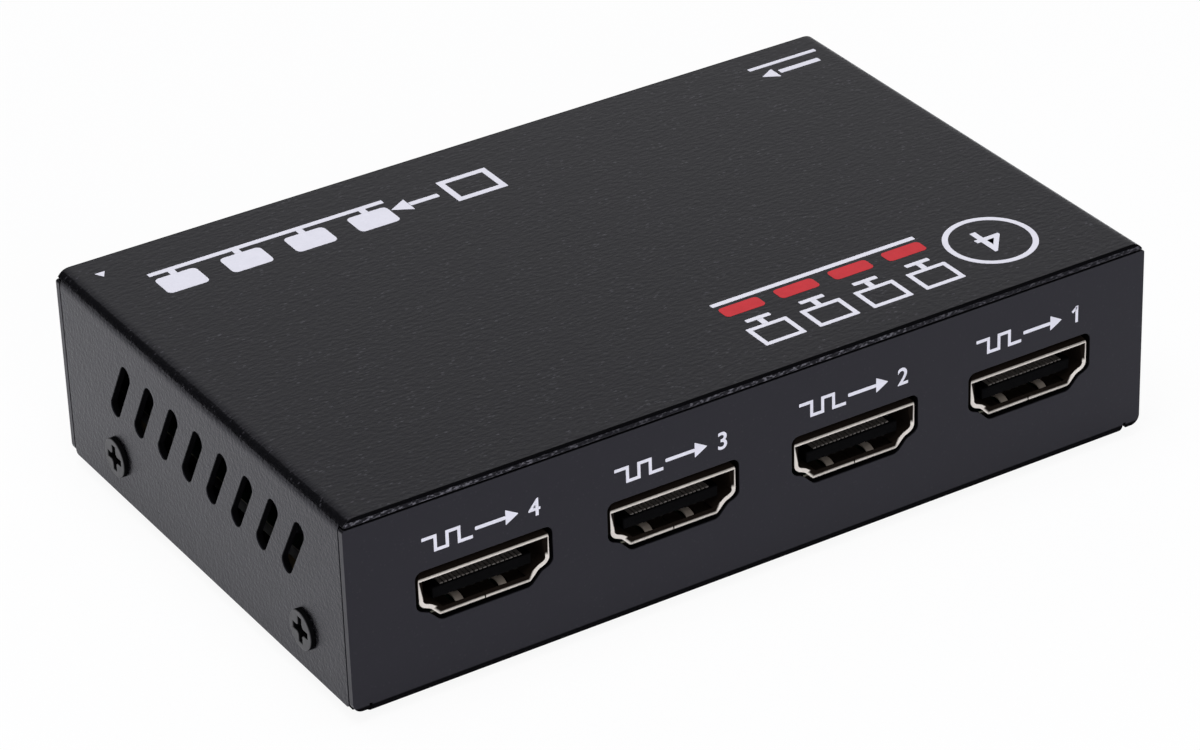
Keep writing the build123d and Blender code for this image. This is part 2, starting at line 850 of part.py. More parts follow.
def main_board():
    """The board with its mounting holes and the holes of every leg."""
    outline = RectangleRounded(board_width, board_depth, board_corner_radius)
    board = Pos(0, 0, board_bottom) * extrude(outline, board_thickness)
    for x, y in standoff_places:
        board -= Pos(x, y) * rod(mount_hole_radius, "z", 0, cover_top)
    holes = [front_place(x) * Pos(0, socket_recess) * leg for x in output_centres
             for leg in socket_legs(pin_hole_gap)]
    holes += [rear_place(input_centre) * Pos(0, socket_recess) * leg for leg in socket_legs(pin_hole_gap)]
    holes += [rear_place(jack_centre) * slot for slot in jack_pin_slots()]
    holes += [rear_place(switch_centre) * slot for slot in switch_pin_slots()]
    holes += [rear_place(x) * hole for x in lamp_centres for hole in lamp_lead_holes()]
    return board - holes


# Electronics on the board

def gull_lead(half_body, root_height, width):
    """One folded lead of a chip whose side is at y = half_body, down to z = 0."""
    half = chip_lead_thickness / 2
    knee = half_body + chip_lead_shoulder
    path = [(half_body + half, root_height), (knee, root_height), (knee, half),
            (knee + chip_lead_foot, half)]
    return strip(path, chip_lead_thickness, width)


def lead_rows(half_body, root_height, count, pitch, turns):
    """Rows of leads round a chip, one row for each turn about z."""
    lead = gull_lead(half_body, root_height, chip_lead_width)
    return [Rot(0, 0, turn) * Pos(x) * lead for turn in turns for x in spread(count, pitch)]


def chip_body(length, width, height):
    """A moulded chip body, its upper edges bevelled, just clear of the board."""
    body = block(centred(length), centred(width), (chip_standoff, chip_standoff + height))
    return chamfer(body.edges().group_by(Axis.Z)[-1], chip_edge_chamfer)


chip_place = board_place(chip_place_shares)
chip_top = chip_standoff + chip_height


def splitter_chip():
    """The square chip that copies the signal."""
    return chip_place * chip_body(chip_size, chip_size, chip_height)


def splitter_chip_leads():
    """Its leads, on four sides."""
    leads = lead_rows(chip_size / 2, chip_standoff + chip_height / 2, chip_lead_count, chip_lead_pitch,
                      (0, 90, 180, 270))
    return [chip_place * lead for lead in leads]


def thermal_pad():
    """The soft pad between chip and heat sink."""
    size = chip_size - 2 * chip_edge_chamfer
    return chip_place * block(centred(size), centred(size), (chip_top, chip_top + pad_thickness))


def heat_sink():
    """The finned heat sink on the chip."""
    bottom = chip_top + pad_thickness
    sink = block(centred(sink_size), centred(sink_size), (bottom, bottom + sink_plate))
    pitch = (sink_size - fin_thickness) / (fin_count - 1)
    for x in spread(fin_count, pitch):
        sink += Pos(x) * block(centred(fin_thickness), centred(sink_size), (bottom, bottom + sink_height))
    return chip_place * sink


def control_chip():
    """The controller that reads the displays' data."""
    return board_place(control_place_shares) * chip_body(control_length, control_width, control_height)


def control_chip_leads():
    """The controller's two rows of leads."""
    rows = lead_rows(control_width / 2, chip_standoff + control_height / 2, control_lead_count,
                     control_lead_pitch, (0, 180))
    return [board_place(control_place_shares) * lead for lead in rows]


def memory_chips():
    """Two small memory chips."""
    body = chip_body(memory_length, control_width, control_height)
    return [board_place(shares) * body for shares in memory_place_shares]


def memory_chip_leads():
    """Their leads."""
    rows = lead_rows(control_width / 2, chip_standoff + control_height / 2, memory_lead_count,
                     control_lead_pitch, (0, 180))
    return [board_place(shares) * lead for shares in memory_place_shares for lead in rows]


def voltage_regulator():
    """The voltage regulator's body."""
    body = chip_body(regulator_length, regulator_width, regulator_height)
    return board_place(regulator_place_shares) * body


def regulator_leads():
    """The regulator's three leads and, opposite, its wide tab."""
    half_body = regulator_width / 2
    root = chip_standoff + regulator_height / 2
    leads = lead_rows(half_body, root, regulator_lead_count, regulator_lead_pitch, (0,))
    leads.append(Rot(0, 0, 180) * gull_lead(half_body, root, regulator_tab_width))
    return [board_place(regulator_place_shares) * lead for lead in leads]


def power_inductor():
    """The shielded coil of the step-down converter."""
    body = extrude(RectangleRounded(inductor_size, inductor_size, inductor_corner_radius), inductor_height)
    return board_place(inductor_place_shares) * body


def capacitor_cans():
    """The two electrolytic capacitors' cans, each on its base."""
    can = rod(can_radius, "z", can_base_height, can_height)
    can = fillet(can.edges().group_by(Axis.Z)[-1], can_rounding)
    return [board_place(shares) * can for shares in can_place_shares]


def capacitor_bases():
    """Their square moulded bases, with two corners cut."""
    base = block(centred(can_base_size), centred(can_base_size), (0, can_base_height))
    base = chamfer(base.edges().filter_by(Axis.Z).group_by(Axis.X)[-1], can_base_bevel)
    return [board_place(shares) * base for shares in can_place_shares]


def crystal():
    """The timing crystal in its oblong metal can."""
    foot = extrude(SlotOverall(crystal_length, crystal_width), crystal_flange_height)
    can = SlotOverall(crystal_length - 2 * crystal_flange, crystal_width - 2 * crystal_flange)
    return board_place(crystal_place_shares) * (foot + extrude(can, crystal_height))


def input_fuse():
    """The resettable fuse behind the power jack."""
    return board_place(fuse_place_shares) * block(centred(fuse_length), centred(fuse_width), (0, fuse_height))


def surge_guards():
    """Two small protection chips behind each output socket and the input socket."""
    back = socket_recess + contact_back + contact_foot + guard_row_gap
    guard = block(centred(guard_length), (back, back + guard_width), (0, guard_height))
    pair = [Pos(x) * guard for x in spread(guard_count, guard_spacing)]
    places = [front_place(x) for x in output_centres] + [rear_place(input_centre)]
    return [place * item for place in places for item in pair]


def chip_bit(height):
    """A small surface-mounted capacitor or resistor, lying along x."""
    return block(centred(bit_length), centred(bit_width), (0, height))


def ceramic_capacitors():
    """Small capacitors in a column at each side of the splitter chip."""
    bit = Rot(0, 0, 90) * chip_bit(capacitor_height)
    column = chip_size / 2 + chip_lead_shoulder + chip_lead_foot + bit_column_gap
    return [chip_place * Pos(side * column, y) * bit
            for side in (-1, 1) for y in spread(bit_row_count, bit_row_pitch)]


def chip_resistors():
    """Small resistors beside the capacitors, and one behind each lamp."""
    bit = Rot(0, 0, 90) * chip_bit(resistor_height)
    column = chip_size / 2 + chip_lead_shoulder + chip_lead_foot + bit_column_gap + bit_row_gap
    columns = [chip_place * Pos(side * column, y) * bit
               for side in (-1, 1) for y in spread(bit_row_count, bit_row_pitch)]
    behind = lamp_length + lead_run + lamp_resistor_gap
    return columns + [rear_place(x) * Pos(0, behind) * bit for x in lamp_centres]


# Writing the parts

def write(name, solids):
    """Writes one node: a solid, or a group of separate solids, moved so that the whole is centred."""
    group = list(solids) if isinstance(solids, (list, ShapeList)) else [solids]
    shift = Pos(0, -knob_reach / 2)
    pieces = [solid for shape in group for solid in (shift * shape).solids()]
    shape = pieces[0] if len(pieces) == 1 else Compound(children=pieces)
    export_step(shape, os.path.join("parts", name + ".step"))


def write_socket(prefix, place, pieces):
    """Writes a socket's three nodes at its place."""
    for name, solids in pieces.items():
        write(prefix + "_" + name, [place * solid for solid in solids])


def main():
    """Builds every node and writes it."""
    os.makedirs("parts", exist_ok=True)
    nodes = [top_cover, base_tray, cover_screws, board_screws, board_standoffs, rubber_feet, main_board,
             splitter_chip, splitter_chip_leads, thermal_pad, heat_sink, control_chip, control_chip_leads,
             memory_chips, memory_chip_leads, voltage_regulator, regulator_leads, power_inductor,
             capacitor_cans, capacitor_bases, crystal, input_fuse, surge_guards, ceramic_capacitors,
             chip_resistors]
    for node in nodes:
        write(node.__name__, node())
    pieces = {"shell": [socket_shell()], "insulator": [socket_insulator()], "contacts": socket_contacts()}
    for index, x in enumerate(output_centres):
        write_socket("output_%d" % (output_count - index), front_place(x), pieces)
    write_socket("input", rear_place(input_centre), pieces)
    for node in (power_jack_housing, power_jack_pin):
        write(node.__name__, rear_place(jack_centre) * node())
    write("power_jack_contacts", [rear_place(jack_centre) * solid for solid in power_jack_contacts()])
    for node in (switch_frame, switch_base, switch_slider, switch_wiper):
        write(node.__name__, rear_place(switch_centre) * node())
    write("switch_terminals", [rear_place(switch_centre) * solid for solid in switch_terminals()])
    lamps = [rear_place(x) * lamp() for x in lamp_centres]
    write("power_lamp", lamps[0])
    write("output_lamps", lamps[1:])
    write("lamp_leads", [rear_place(x) * lead for x in lamp_centres for lead in lamp_lead_pair()])


main()
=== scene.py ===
"""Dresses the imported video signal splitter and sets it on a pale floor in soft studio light.

Sizes are in millimetres: +X along the output panel, +Y from the outputs to the input, y = 0 in the middle
of the case and z = 0 under the feet. Pieces are modelled there, and brought to metres and to the part's own
frame when they are set down.
"""

from __future__ import annotations

import logging
import math
from collections.abc import Callable, Iterator, Sequence
from contextlib import contextmanager
from dataclasses import dataclass, field
from enum import Enum
from typing import Any

import bmesh
import bpy
from bpy.types import Material, Node, NodeSocket, NodeTree, Object
from mathutils import Matrix, Vector

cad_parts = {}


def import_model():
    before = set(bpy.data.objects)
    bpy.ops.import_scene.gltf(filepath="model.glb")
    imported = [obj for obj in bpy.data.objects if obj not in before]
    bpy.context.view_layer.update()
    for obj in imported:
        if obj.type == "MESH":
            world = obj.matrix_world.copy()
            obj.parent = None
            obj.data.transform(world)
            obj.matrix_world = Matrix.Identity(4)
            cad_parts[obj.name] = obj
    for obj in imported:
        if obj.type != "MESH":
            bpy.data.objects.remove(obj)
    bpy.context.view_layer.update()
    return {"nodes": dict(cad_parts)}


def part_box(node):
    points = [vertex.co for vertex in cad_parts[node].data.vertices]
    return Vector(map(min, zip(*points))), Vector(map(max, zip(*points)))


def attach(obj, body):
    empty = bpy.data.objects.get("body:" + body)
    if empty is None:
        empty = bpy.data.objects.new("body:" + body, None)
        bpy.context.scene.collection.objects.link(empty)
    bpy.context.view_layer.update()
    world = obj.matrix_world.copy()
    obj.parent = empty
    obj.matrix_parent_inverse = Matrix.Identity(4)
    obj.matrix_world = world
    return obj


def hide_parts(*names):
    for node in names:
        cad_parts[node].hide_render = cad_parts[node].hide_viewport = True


log = logging.getLogger("splitter")

MM = 0.001
CASE_BODY = "case"
SLIDE_BODY = "switch_slide"
SIDES = (-1, 1)
# Where the middle of the case stands along Y in the part's own frame
FRAME_SHIFT_Y = -0.8
# The board's upper face, and where the sockets on it stand along X
BOARD_TOP = 9.1
OUTPUT_COUNT = 4
OUTPUT_ROW = 0.3492
OUTPUT_PITCH = 22.2033
INPUT_X = 1.9982
# How far a cutting tool reaches past what it cuts, and how near counts as touching
OVERRUN = 1.0
NEAR = 0.01
MERGE_DISTANCE = 0.004
# How well a face looks in a direction, and angles in degrees that still count as flat or as smooth
FLAT = 0.99
FLATNESS = 0.3
SMOOTH_ANGLE = 35.0

Point = tuple[float, float, float]
Span = tuple[float, float]
Test = Callable[[Any], bool]

NOWHERE: Point = (0.0, 0.0, 0.0)
HALF_TURN: Point = (0.0, 0.0, 180.0)


class Part(Enum):
    """What is selected in edit mode."""

    CORNERS = ("VERT", "verts")
    EDGES = ("EDGE", "edges")
    FACES = ("FACE", "faces")


class Axis(Enum):
    """The way a rod points, as the turn in degrees that brings it there from +Z."""

    X = (0.0, 90.0, 0.0)
    Y = (-90.0, 0.0, 0.0)
    Z = (0.0, 0.0, 0.0)


# The bench: how pieces are made and shaped

def activate(piece: Object) -> None:
    """Makes one piece the only selected and the active one.

    Args:
        piece: The piece to work on.
    """
    if bpy.context.mode != "OBJECT":
        bpy.ops.object.mode_set(mode="OBJECT")
    bpy.ops.object.select_all(action="DESELECT")
    piece.select_set(True)
    bpy.context.view_layer.objects.active = piece


@contextmanager
def editing(piece: Object) -> Iterator[None]:
    """Edit mode on one piece, with nothing in it selected.

    Args:
        piece: The piece to edit.
    """
    activate(piece)
    bpy.ops.object.mode_set(mode="EDIT")
    bpy.ops.mesh.select_all(action="DESELECT")
    yield
    bpy.ops.object.mode_set(mode="OBJECT")


def pick(piece: Object, part: Part, wanted: Test) -> None:
    """Selects, in edit mode, only what passes a test.

    Args:
        piece: The piece in edit mode.
        part: Corners, edges or faces.
        wanted: The test, given each corner, edge or face.
    """
    mode, members = part.value
    bpy.ops.mesh.select_mode(type=mode)
    bpy.ops.mesh.select_all(action="DESELECT")
    cage = bmesh.from_edit_mesh(piece.data)
    cage.normal_update()
    for item in getattr(cage, members):
        if wanted(item):
            item.select_set(True)
    cage.select_flush_mode()
    bmesh.update_edit_mesh(piece.data)


def middle(item: Any) -> Vector:
    """The middle of an edge or face."""
    return sum((corner.co for corner in item.verts), Vector()) / len(item.verts)


def faces_to(*direction: float) -> Test:
    """A test for faces that look in a direction."""
    aim = Vector(direction)
    return lambda face: face.normal.dot(aim) > FLAT


def runs(axis: int, least: float = 0.1) -> Test:
    """A test for edges that run further than a length along an axis."""
    return lambda edge: abs(edge.verts[0].co[axis] - edge.verts[1].co[axis]) > least


def lies(axis: int, low: float = -math.inf, high: float = math.inf) -> Test:
    """A test for edges and faces that lie between two places on an axis."""
    return lambda item: all(low < corner.co[axis] < high for corner in item.verts)


def both(first: Test, second: Test) -> Test:
    """A test for what passes two tests."""
    return lambda item: first(item) and second(item)


def extrude(x: float = 0.0, y: float = 0.0, z: float = 0.0) -> None:
    """Extrudes, in edit mode, what is selected."""
    bpy.ops.mesh.extrude_region_move(TRANSFORM_OT_translate={"value": (x, y, z)})


def bevel(width: float, segments: int, clamp: bool = False) -> None:
    """Bevels, in edit mode, the edges of what is selected.

    Args:
        width: How far the bevel reaches.
        segments: How many facets it has.
        clamp: Whether it stops where bevels meet.
    """
    bpy.ops.mesh.bevel(offset=width, segments=segments, affect="EDGES", clamp_overlap=clamp)


def settle(piece: Object) -> Object:
    """Applies a piece's place, turn and scale to its mesh."""
    activate(piece)
    bpy.ops.object.transform_apply(location=True, rotation=True, scale=True)
    return piece


def moved(piece: Object, place: Point = NOWHERE, turn: Point = NOWHERE) -> Object:
    """Turns a piece about the origin, then moves it.

    Args:
        piece: The piece.
        place: How far it goes.
        turn: Its turn about X, Y and Z, in degrees.

    Returns:
        The same piece.
    """
    piece.rotation_euler = [math.radians(angle) for angle in turn]
    piece.location = place
    return settle(piece)


def add_block(name: str, x: Span, y: Span, z: Span) -> Object:
    """Adds a box between two places along each axis.

    Args:
        name: The piece's name.
        x: Its span along X.
        y: Its span along Y.
        z: Its span along Z.

    Returns:
        The new piece.
    """
    low, high = Vector((x[0], y[0], z[0])), Vector((x[1], y[1], z[1]))
    bpy.ops.object.select_all(action="DESELECT")
    bpy.ops.mesh.primitive_cube_add(size=1, location=(low + high) / 2, scale=high - low)
    piece = bpy.context.object
    piece.name = name
    return settle(piece)


def add_rod(name: str, radius: float, span: Span, axis: Axis = Axis.Z, sides: int = 48,
            end_radius: float | None = None) -> Object:
    """Adds a round or many-sided bar, or a cone, round an axis through the origin.

    Args:
        name: The piece's name.
        radius: Its radius where it starts.
        span: Where it starts and ends along the axis.
        axis: The way it points.
        sides: How many sides it has.
        end_radius: Its radius where it ends, if that differs.

    Returns:
        The new piece.
    """
    bpy.ops.object.select_all(action="DESELECT")
    bpy.ops.mesh.primitive_cone_add(vertices=sides, radius1=radius, depth=span[1] - span[0],
                                    radius2=radius if end_radius is None else end_radius,
                                    location=(0, 0, (span[0] + span[1]) / 2))
    piece = bpy.context.object
    piece.name = name
    settle(piece)
    return moved(piece, turn=axis.value)


def copied(piece: Object, place: Point = NOWHERE, turn: Point = NOWHERE) -> Object:
    """Copies a piece, with its own mesh, to a place and turn."""
    activate(piece)
    bpy.ops.object.duplicate(linked=False)
    return moved(bpy.context.object, place, turn)


def repeated(model: Object, places: Sequence[Point], turn: Point = NOWHERE) -> list[Object]:
    """Copies a piece to several places, and removes the piece itself.

    Args:
        model: The piece that is repeated.
        places: Where its copies go.
        turn: The turn of every copy.

    Returns:
        The copies.
    """
    copies = [copied(model, place, turn) for place in places]
    bpy.data.meshes.remove(model.data)
    return copies


def joined(name: str, pieces: Sequence[Object]) -> Object:
    """Joins pieces to one object without merging their meshes.

    Args:
        name: The name of what results.
        pieces: The pieces, which are used up.

    Returns:
        The joined piece.
    """
    activate(pieces[0])
    for piece in pieces:
        piece.select_set(True)
    if len(pieces) > 1:
        bpy.ops.object.join()
    pieces[0].name = name
    return pieces[0]


def apply_modifier(piece: Object, kind: str, **settings: Any) -> None:
    """Adds a modifier with its settings and applies it.

    Args:
        piece: The piece.
        kind: The modifier's type.
        **settings: Its settings.
    """
    activate(piece)
    modifier = piece.modifiers.new(kind.lower(), kind)
    for setting, value in settings.items():
        setattr(modifier, setting, value)
    bpy.ops.object.modifier_apply(modifier=modifier.name)


def combine(piece: Object, others: Sequence[Object], operation: str) -> Object:
    """Cuts other solids from a piece, or adds them to it. The others are used up.

    Args:
        piece: The piece that stays.
        others: The solids to cut or add, clear of each other.
        operation: DIFFERENCE or UNION.

    Returns:
        The piece.
    """
    tool = joined("tool", list(others))
    apply_modifier(piece, "BOOLEAN", operation=operation, solver="EXACT", object=tool)
    bpy.data.meshes.remove(tool.data)
    return piece


def cut(piece: Object, *tools: Object) -> Object:
    """Cuts solids from a piece."""
    return combine(piece, tools, "DIFFERENCE")


def fuse(piece: Object, *others: Object) -> Object:
    """Adds solids to a piece one after the other, so that they may touch."""
    for other in others:
        combine(piece, [other], "UNION")
    return piece


def tidy(piece: Object) -> None:
    """Merges the corners that cuts leave side by side, and dissolves edges that cross a flat face."""
    with editing(piece):
        bpy.ops.mesh.select_all(action="SELECT")
        bpy.ops.mesh.remove_doubles(threshold=MERGE_DISTANCE)
        bpy.ops.mesh.dissolve_limited(angle_limit=math.radians(FLATNESS))
        bpy.ops.mesh.select_all(action="SELECT")
        bpy.ops.mesh.dissolve_degenerate(threshold=MERGE_DISTANCE)
        bpy.ops.mesh.select_all(action="SELECT")
        bpy.ops.mesh.normals_make_consistent(inside=False)


def soften(piece: Object, width: float, segments: int = 2, angle: float = 40.0) -> Object:
    """Rounds every outward edge that is sharper than an angle, and shades the piece smoothly.

    Args:
        piece: The piece.
        width: How far the rounding reaches.
        segments: How many facets it has.
        angle: The least turn, in degrees, of an edge that is rounded.

    Returns:
        The piece.
    """
    tidy(piece)
    least = math.radians(angle)
    with editing(piece):
        pick(piece, Part.EDGES, lambda edge: edge.is_convex and edge.calc_face_angle(0.0) > least)
        bevel(width, segments)
    activate(piece)
    bpy.ops.object.shade_smooth_by_angle(angle=math.radians(SMOOTH_ANGLE))
    apply_modifier(piece, "WEIGHTED_NORMAL", keep_sharp=True, weight=100)
    return piece


def centred(width: float) -> Span:
    """The span of a width that is centred on zero."""
    return (-width / 2, width / 2)


def between(one: float, other: float) -> Span:
    """The span between two places, whichever comes first."""
    return (min(one, other), max(one, other))


def spread(count: int, pitch: float) -> list[float]:
    """Evenly spaced places, centred on zero."""
    return [(index - (count - 1) / 2) * pitch for index in range(count)]


def drift_from(piece: Object, node: str) -> float:
    """How far, in millimetres, a piece's box departs from its node's box.

    Args:
        piece: The piece, at its place in the part.
        node: The CAD node that it replaces.

    Returns:
        The widest distance between two of their sides.
    """
    low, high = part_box(node)
    apart = []
    for axis in range(3):
        places = [corner.co[axis] for corner in piece.data.vertices]
        apart += [abs(low[axis] - min(places)), abs(high[axis] - max(places))]
    return max(apart) / MM


def set_down(piece: Object, finish: Finish, node: str = "", body: str = CASE_BODY) -> None:
    """Brings a finished piece to metres and into the part: its body, its finish and the node it stands for.

    Args:
        piece: The piece, modelled in millimetres.
        finish: Its finish.
        node: The CAD node that it replaces, if any.
        body: The CAD body that it moves with.
    """
    piece.scale = (MM, MM, MM)
    piece.location = (0.0, FRAME_SHIFT_Y * MM, 0.0)
    settle(piece)
    piece.data.name = piece.name
    piece.data.materials.clear()
    piece.data.materials.append(finish.material())
    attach(piece, body)
    drift = 0.0
    if node:
        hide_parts(node)
        drift = drift_from(piece, node)
    log.info("%-22s %6d faces, off its node by %.2f mm", piece.name, len(piece.data.polygons), drift)


# Finishes

def linear(code: str) -> tuple[float, float, float, float]:
    """Turns an sRGB hex value into the linear colour that a socket takes.

    Args:
        code: Six hex digits after a hash.

    Returns:
        Red, green, blue and an alpha of 1.
    """
    channels = [int(code[index:index + 2], 16) / 255 for index in (1, 3, 5)]
    levels = [level / 12.92 if level <= 0.04045 else ((level + 0.055) / 1.055) ** 2.4 for level in channels]
    return (levels[0], levels[1], levels[2], 1.0)


def add_node(tree: NodeTree, kind: str, inputs: dict[str | int, Any] | None = None, **options: Any) -> Node:
    """Adds a node with its options, and fills its inputs with values or links.

    Args:
        tree: The node tree.
        kind: The node's type.
        inputs: For each input, a value or the output that feeds it.
        **options: The node's own settings.

    Returns:
        The new node.
    """
    made = tree.nodes.new(kind)
    for option, value in options.items():
        setattr(made, option, value)
    for key, value in (inputs or {}).items():
        if isinstance(value, NodeSocket):
            tree.links.new(value, made.inputs[key])
        else:
            made.inputs[key].default_value = value
    return made


def per_metre(size: float) -> float:
    """The texture scale that gives features of a size in millimetres."""
    return 1.0 / (size * MM)


@dataclass(frozen=True)
class Zone:
    """A zone of a piece painted another tone and gloss: painted shade, such as in holes behind an outer face,
    or a painted highlight.

    It lies behind a face across an axis, or beyond it, between two levels and no further out than some half
    width.
    """

    axis: int
    face: float
    reach: float = 0.1
    # By default near black, dull and barely glossy: painted shade
    tone: str = "#050506"
    roughness: float = 0.95
    specular: float = 0.04
    over: float = -1.0
    under: float = 100.0
    inside: float = 100.0
    beyond: bool = False

    def share(self, tree: NodeTree) -> NodeSocket:
        """How much a place belongs to the zone: wholly behind its face, or wholly beyond it, within its limits.

        Args:
            tree: The node tree.

        Returns:
            The share.
        """
        origin = add_node(tree, "ShaderNodeTexCoord").outputs["Object"]
        apart = add_node(tree, "ShaderNodeSeparateXYZ", {0: origin}).outputs
        shift = -FRAME_SHIFT_Y * MM if self.axis == 1 else 0.0
        centre = add_node(tree, "ShaderNodeMath", {0: apart[self.axis], 1: shift}, operation="ADD")
        distance = add_node(tree, "ShaderNodeMath", {0: centre.outputs[0]}, operation="ABSOLUTE")
        start, end = (0.0, 1.0) if self.beyond else (1.0, 0.0)
        within = add_node(tree, "ShaderNodeMapRange", {0: distance.outputs[0], 1: (self.face - self.reach) * MM,
                                                       2: self.face * MM, 3: start, 4: end})
        across = add_node(tree, "ShaderNodeMath", {0: apart[0]}, operation="ABSOLUTE").outputs[0]
        share = within.outputs[0]
        for value, bound, side in ((apart[2], self.over, "GREATER_THAN"), (apart[2], self.under, "LESS_THAN"),
                                   (across, self.inside, "LESS_THAN")):
            limit = add_node(tree, "ShaderNodeMath", {0: value, 1: bound * MM}, operation=side).outputs[0]
            share = add_node(tree, "ShaderNodeMath", {0: share, 1: limit}, operation="MULTIPLY").outputs[0]
        return share


@dataclass(frozen=True)
class Finish:
    """A surface: two tones that cloud into each other, its gloss, and the grain that it was made with."""

    name: str
    tone: str
    second_tone: str
    roughness: float
    roughness_swing: float = 0.05
    metallic: float = 0.0
    specular: float = 0.5
    ior: float = 1.5
    cloud: float = 5.0
    grain: float = 0.3
    grain_depth: float = 0.004
    stretch: Point = (1.0, 1.0, 1.0)
    swing_levels: Span = (0.3, 0.7)
    # Painted shade and painted highlights, each in its zone
    zones: tuple[Zone, ...] = ()

    def material(self) -> Material:
        """The finish's material, made once and then shared."""
        return bpy.data.materials.get(self.name) or self.build()

    def build(self) -> Material:
        """Makes the material from the finish's colour, gloss and relief."""
        made = bpy.data.materials.new(self.name)
        made.use_nodes = True
        tree = made.node_tree
        tree.nodes.clear()
        origin = add_node(tree, "ShaderNodeTexCoord").outputs["Object"]
        place = add_node(tree, "ShaderNodeMapping", {"Vector": origin, "Scale": self.stretch}).outputs[0]
        colour, roughness, specular = self.colour_at(tree, place), self.roughness_at(tree, place), self.specular
        # Each zone mixes in its painted shade or painted highlight
        for zone in self.zones:
            share = zone.share(tree)
            colour = add_node(tree, "ShaderNodeMix", {0: share, 6: colour, 7: linear(zone.tone)},
                              data_type="RGBA").outputs[2]
            roughness = add_node(tree, "ShaderNodeMix", {0: share, 2: roughness, 3: zone.roughness}).outputs[0]
            specular = add_node(tree, "ShaderNodeMix", {0: share, 2: specular, 3: zone.specular}).outputs[0]
        inputs = {"Base Color": colour, "Roughness": roughness, "Normal": self.normal_at(tree, place),
                  "Metallic": self.metallic, "IOR": self.ior, "Specular IOR Level": specular}
        shader = add_node(tree, "ShaderNodeBsdfPrincipled", inputs)
        shader.inputs["Specular IOR Level"].default_value = self.specular
        self.adjust(tree, shader)
        add_node(tree, "ShaderNodeOutputMaterial", {"Surface": shader.outputs[0]})
        return made

    def colour_at(self, tree: NodeTree, place: NodeSocket) -> NodeSocket:
        """The two tones, clouded at the size of the finish's unevenness."""
        noise = add_node(tree, "ShaderNodeTexNoise",
                         {"Vector": place, "Scale": per_metre(self.cloud), "Detail": 4.0})
        tones = {0: noise.outputs[0], 6: linear(self.tone), 7: linear(self.second_tone)}
        return add_node(tree, "ShaderNodeMix", tones, data_type="RGBA").outputs[2]

    def roughness_at(self, tree: NodeTree, place: NodeSocket) -> NodeSocket:
        """The roughness, uneven from handling and from how the surface was made."""
        noise = add_node(tree, "ShaderNodeTexNoise",
                         {"Vector": place, "Scale": per_metre(self.cloud / 2), "Detail": 3.0})
        least, most = self.swing_levels
        swing = add_node(tree, "ShaderNodeMapRange", {0: noise.outputs[0], 1: least, 2: most,
                                                      3: self.roughness - self.roughness_swing,
                                                      4: self.roughness + self.roughness_swing})
        return swing.outputs[0]

    def normal_at(self, tree: NodeTree, place: NodeSocket) -> NodeSocket:
        """The grain in relief."""
        noise = add_node(tree, "ShaderNodeTexNoise",
                         {"Vector": place, "Scale": per_metre(self.grain), "Detail": 3.0})
        return add_node(tree, "ShaderNodeBump", {"Height": noise.outputs[0], "Strength": 1.0,
                                                 "Distance": self.grain_depth * MM}).outputs[0]

    def adjust(self, tree: NodeTree, shader: Node) -> None:
        """Sets what only some finishes have, such as a coat or light passing through."""


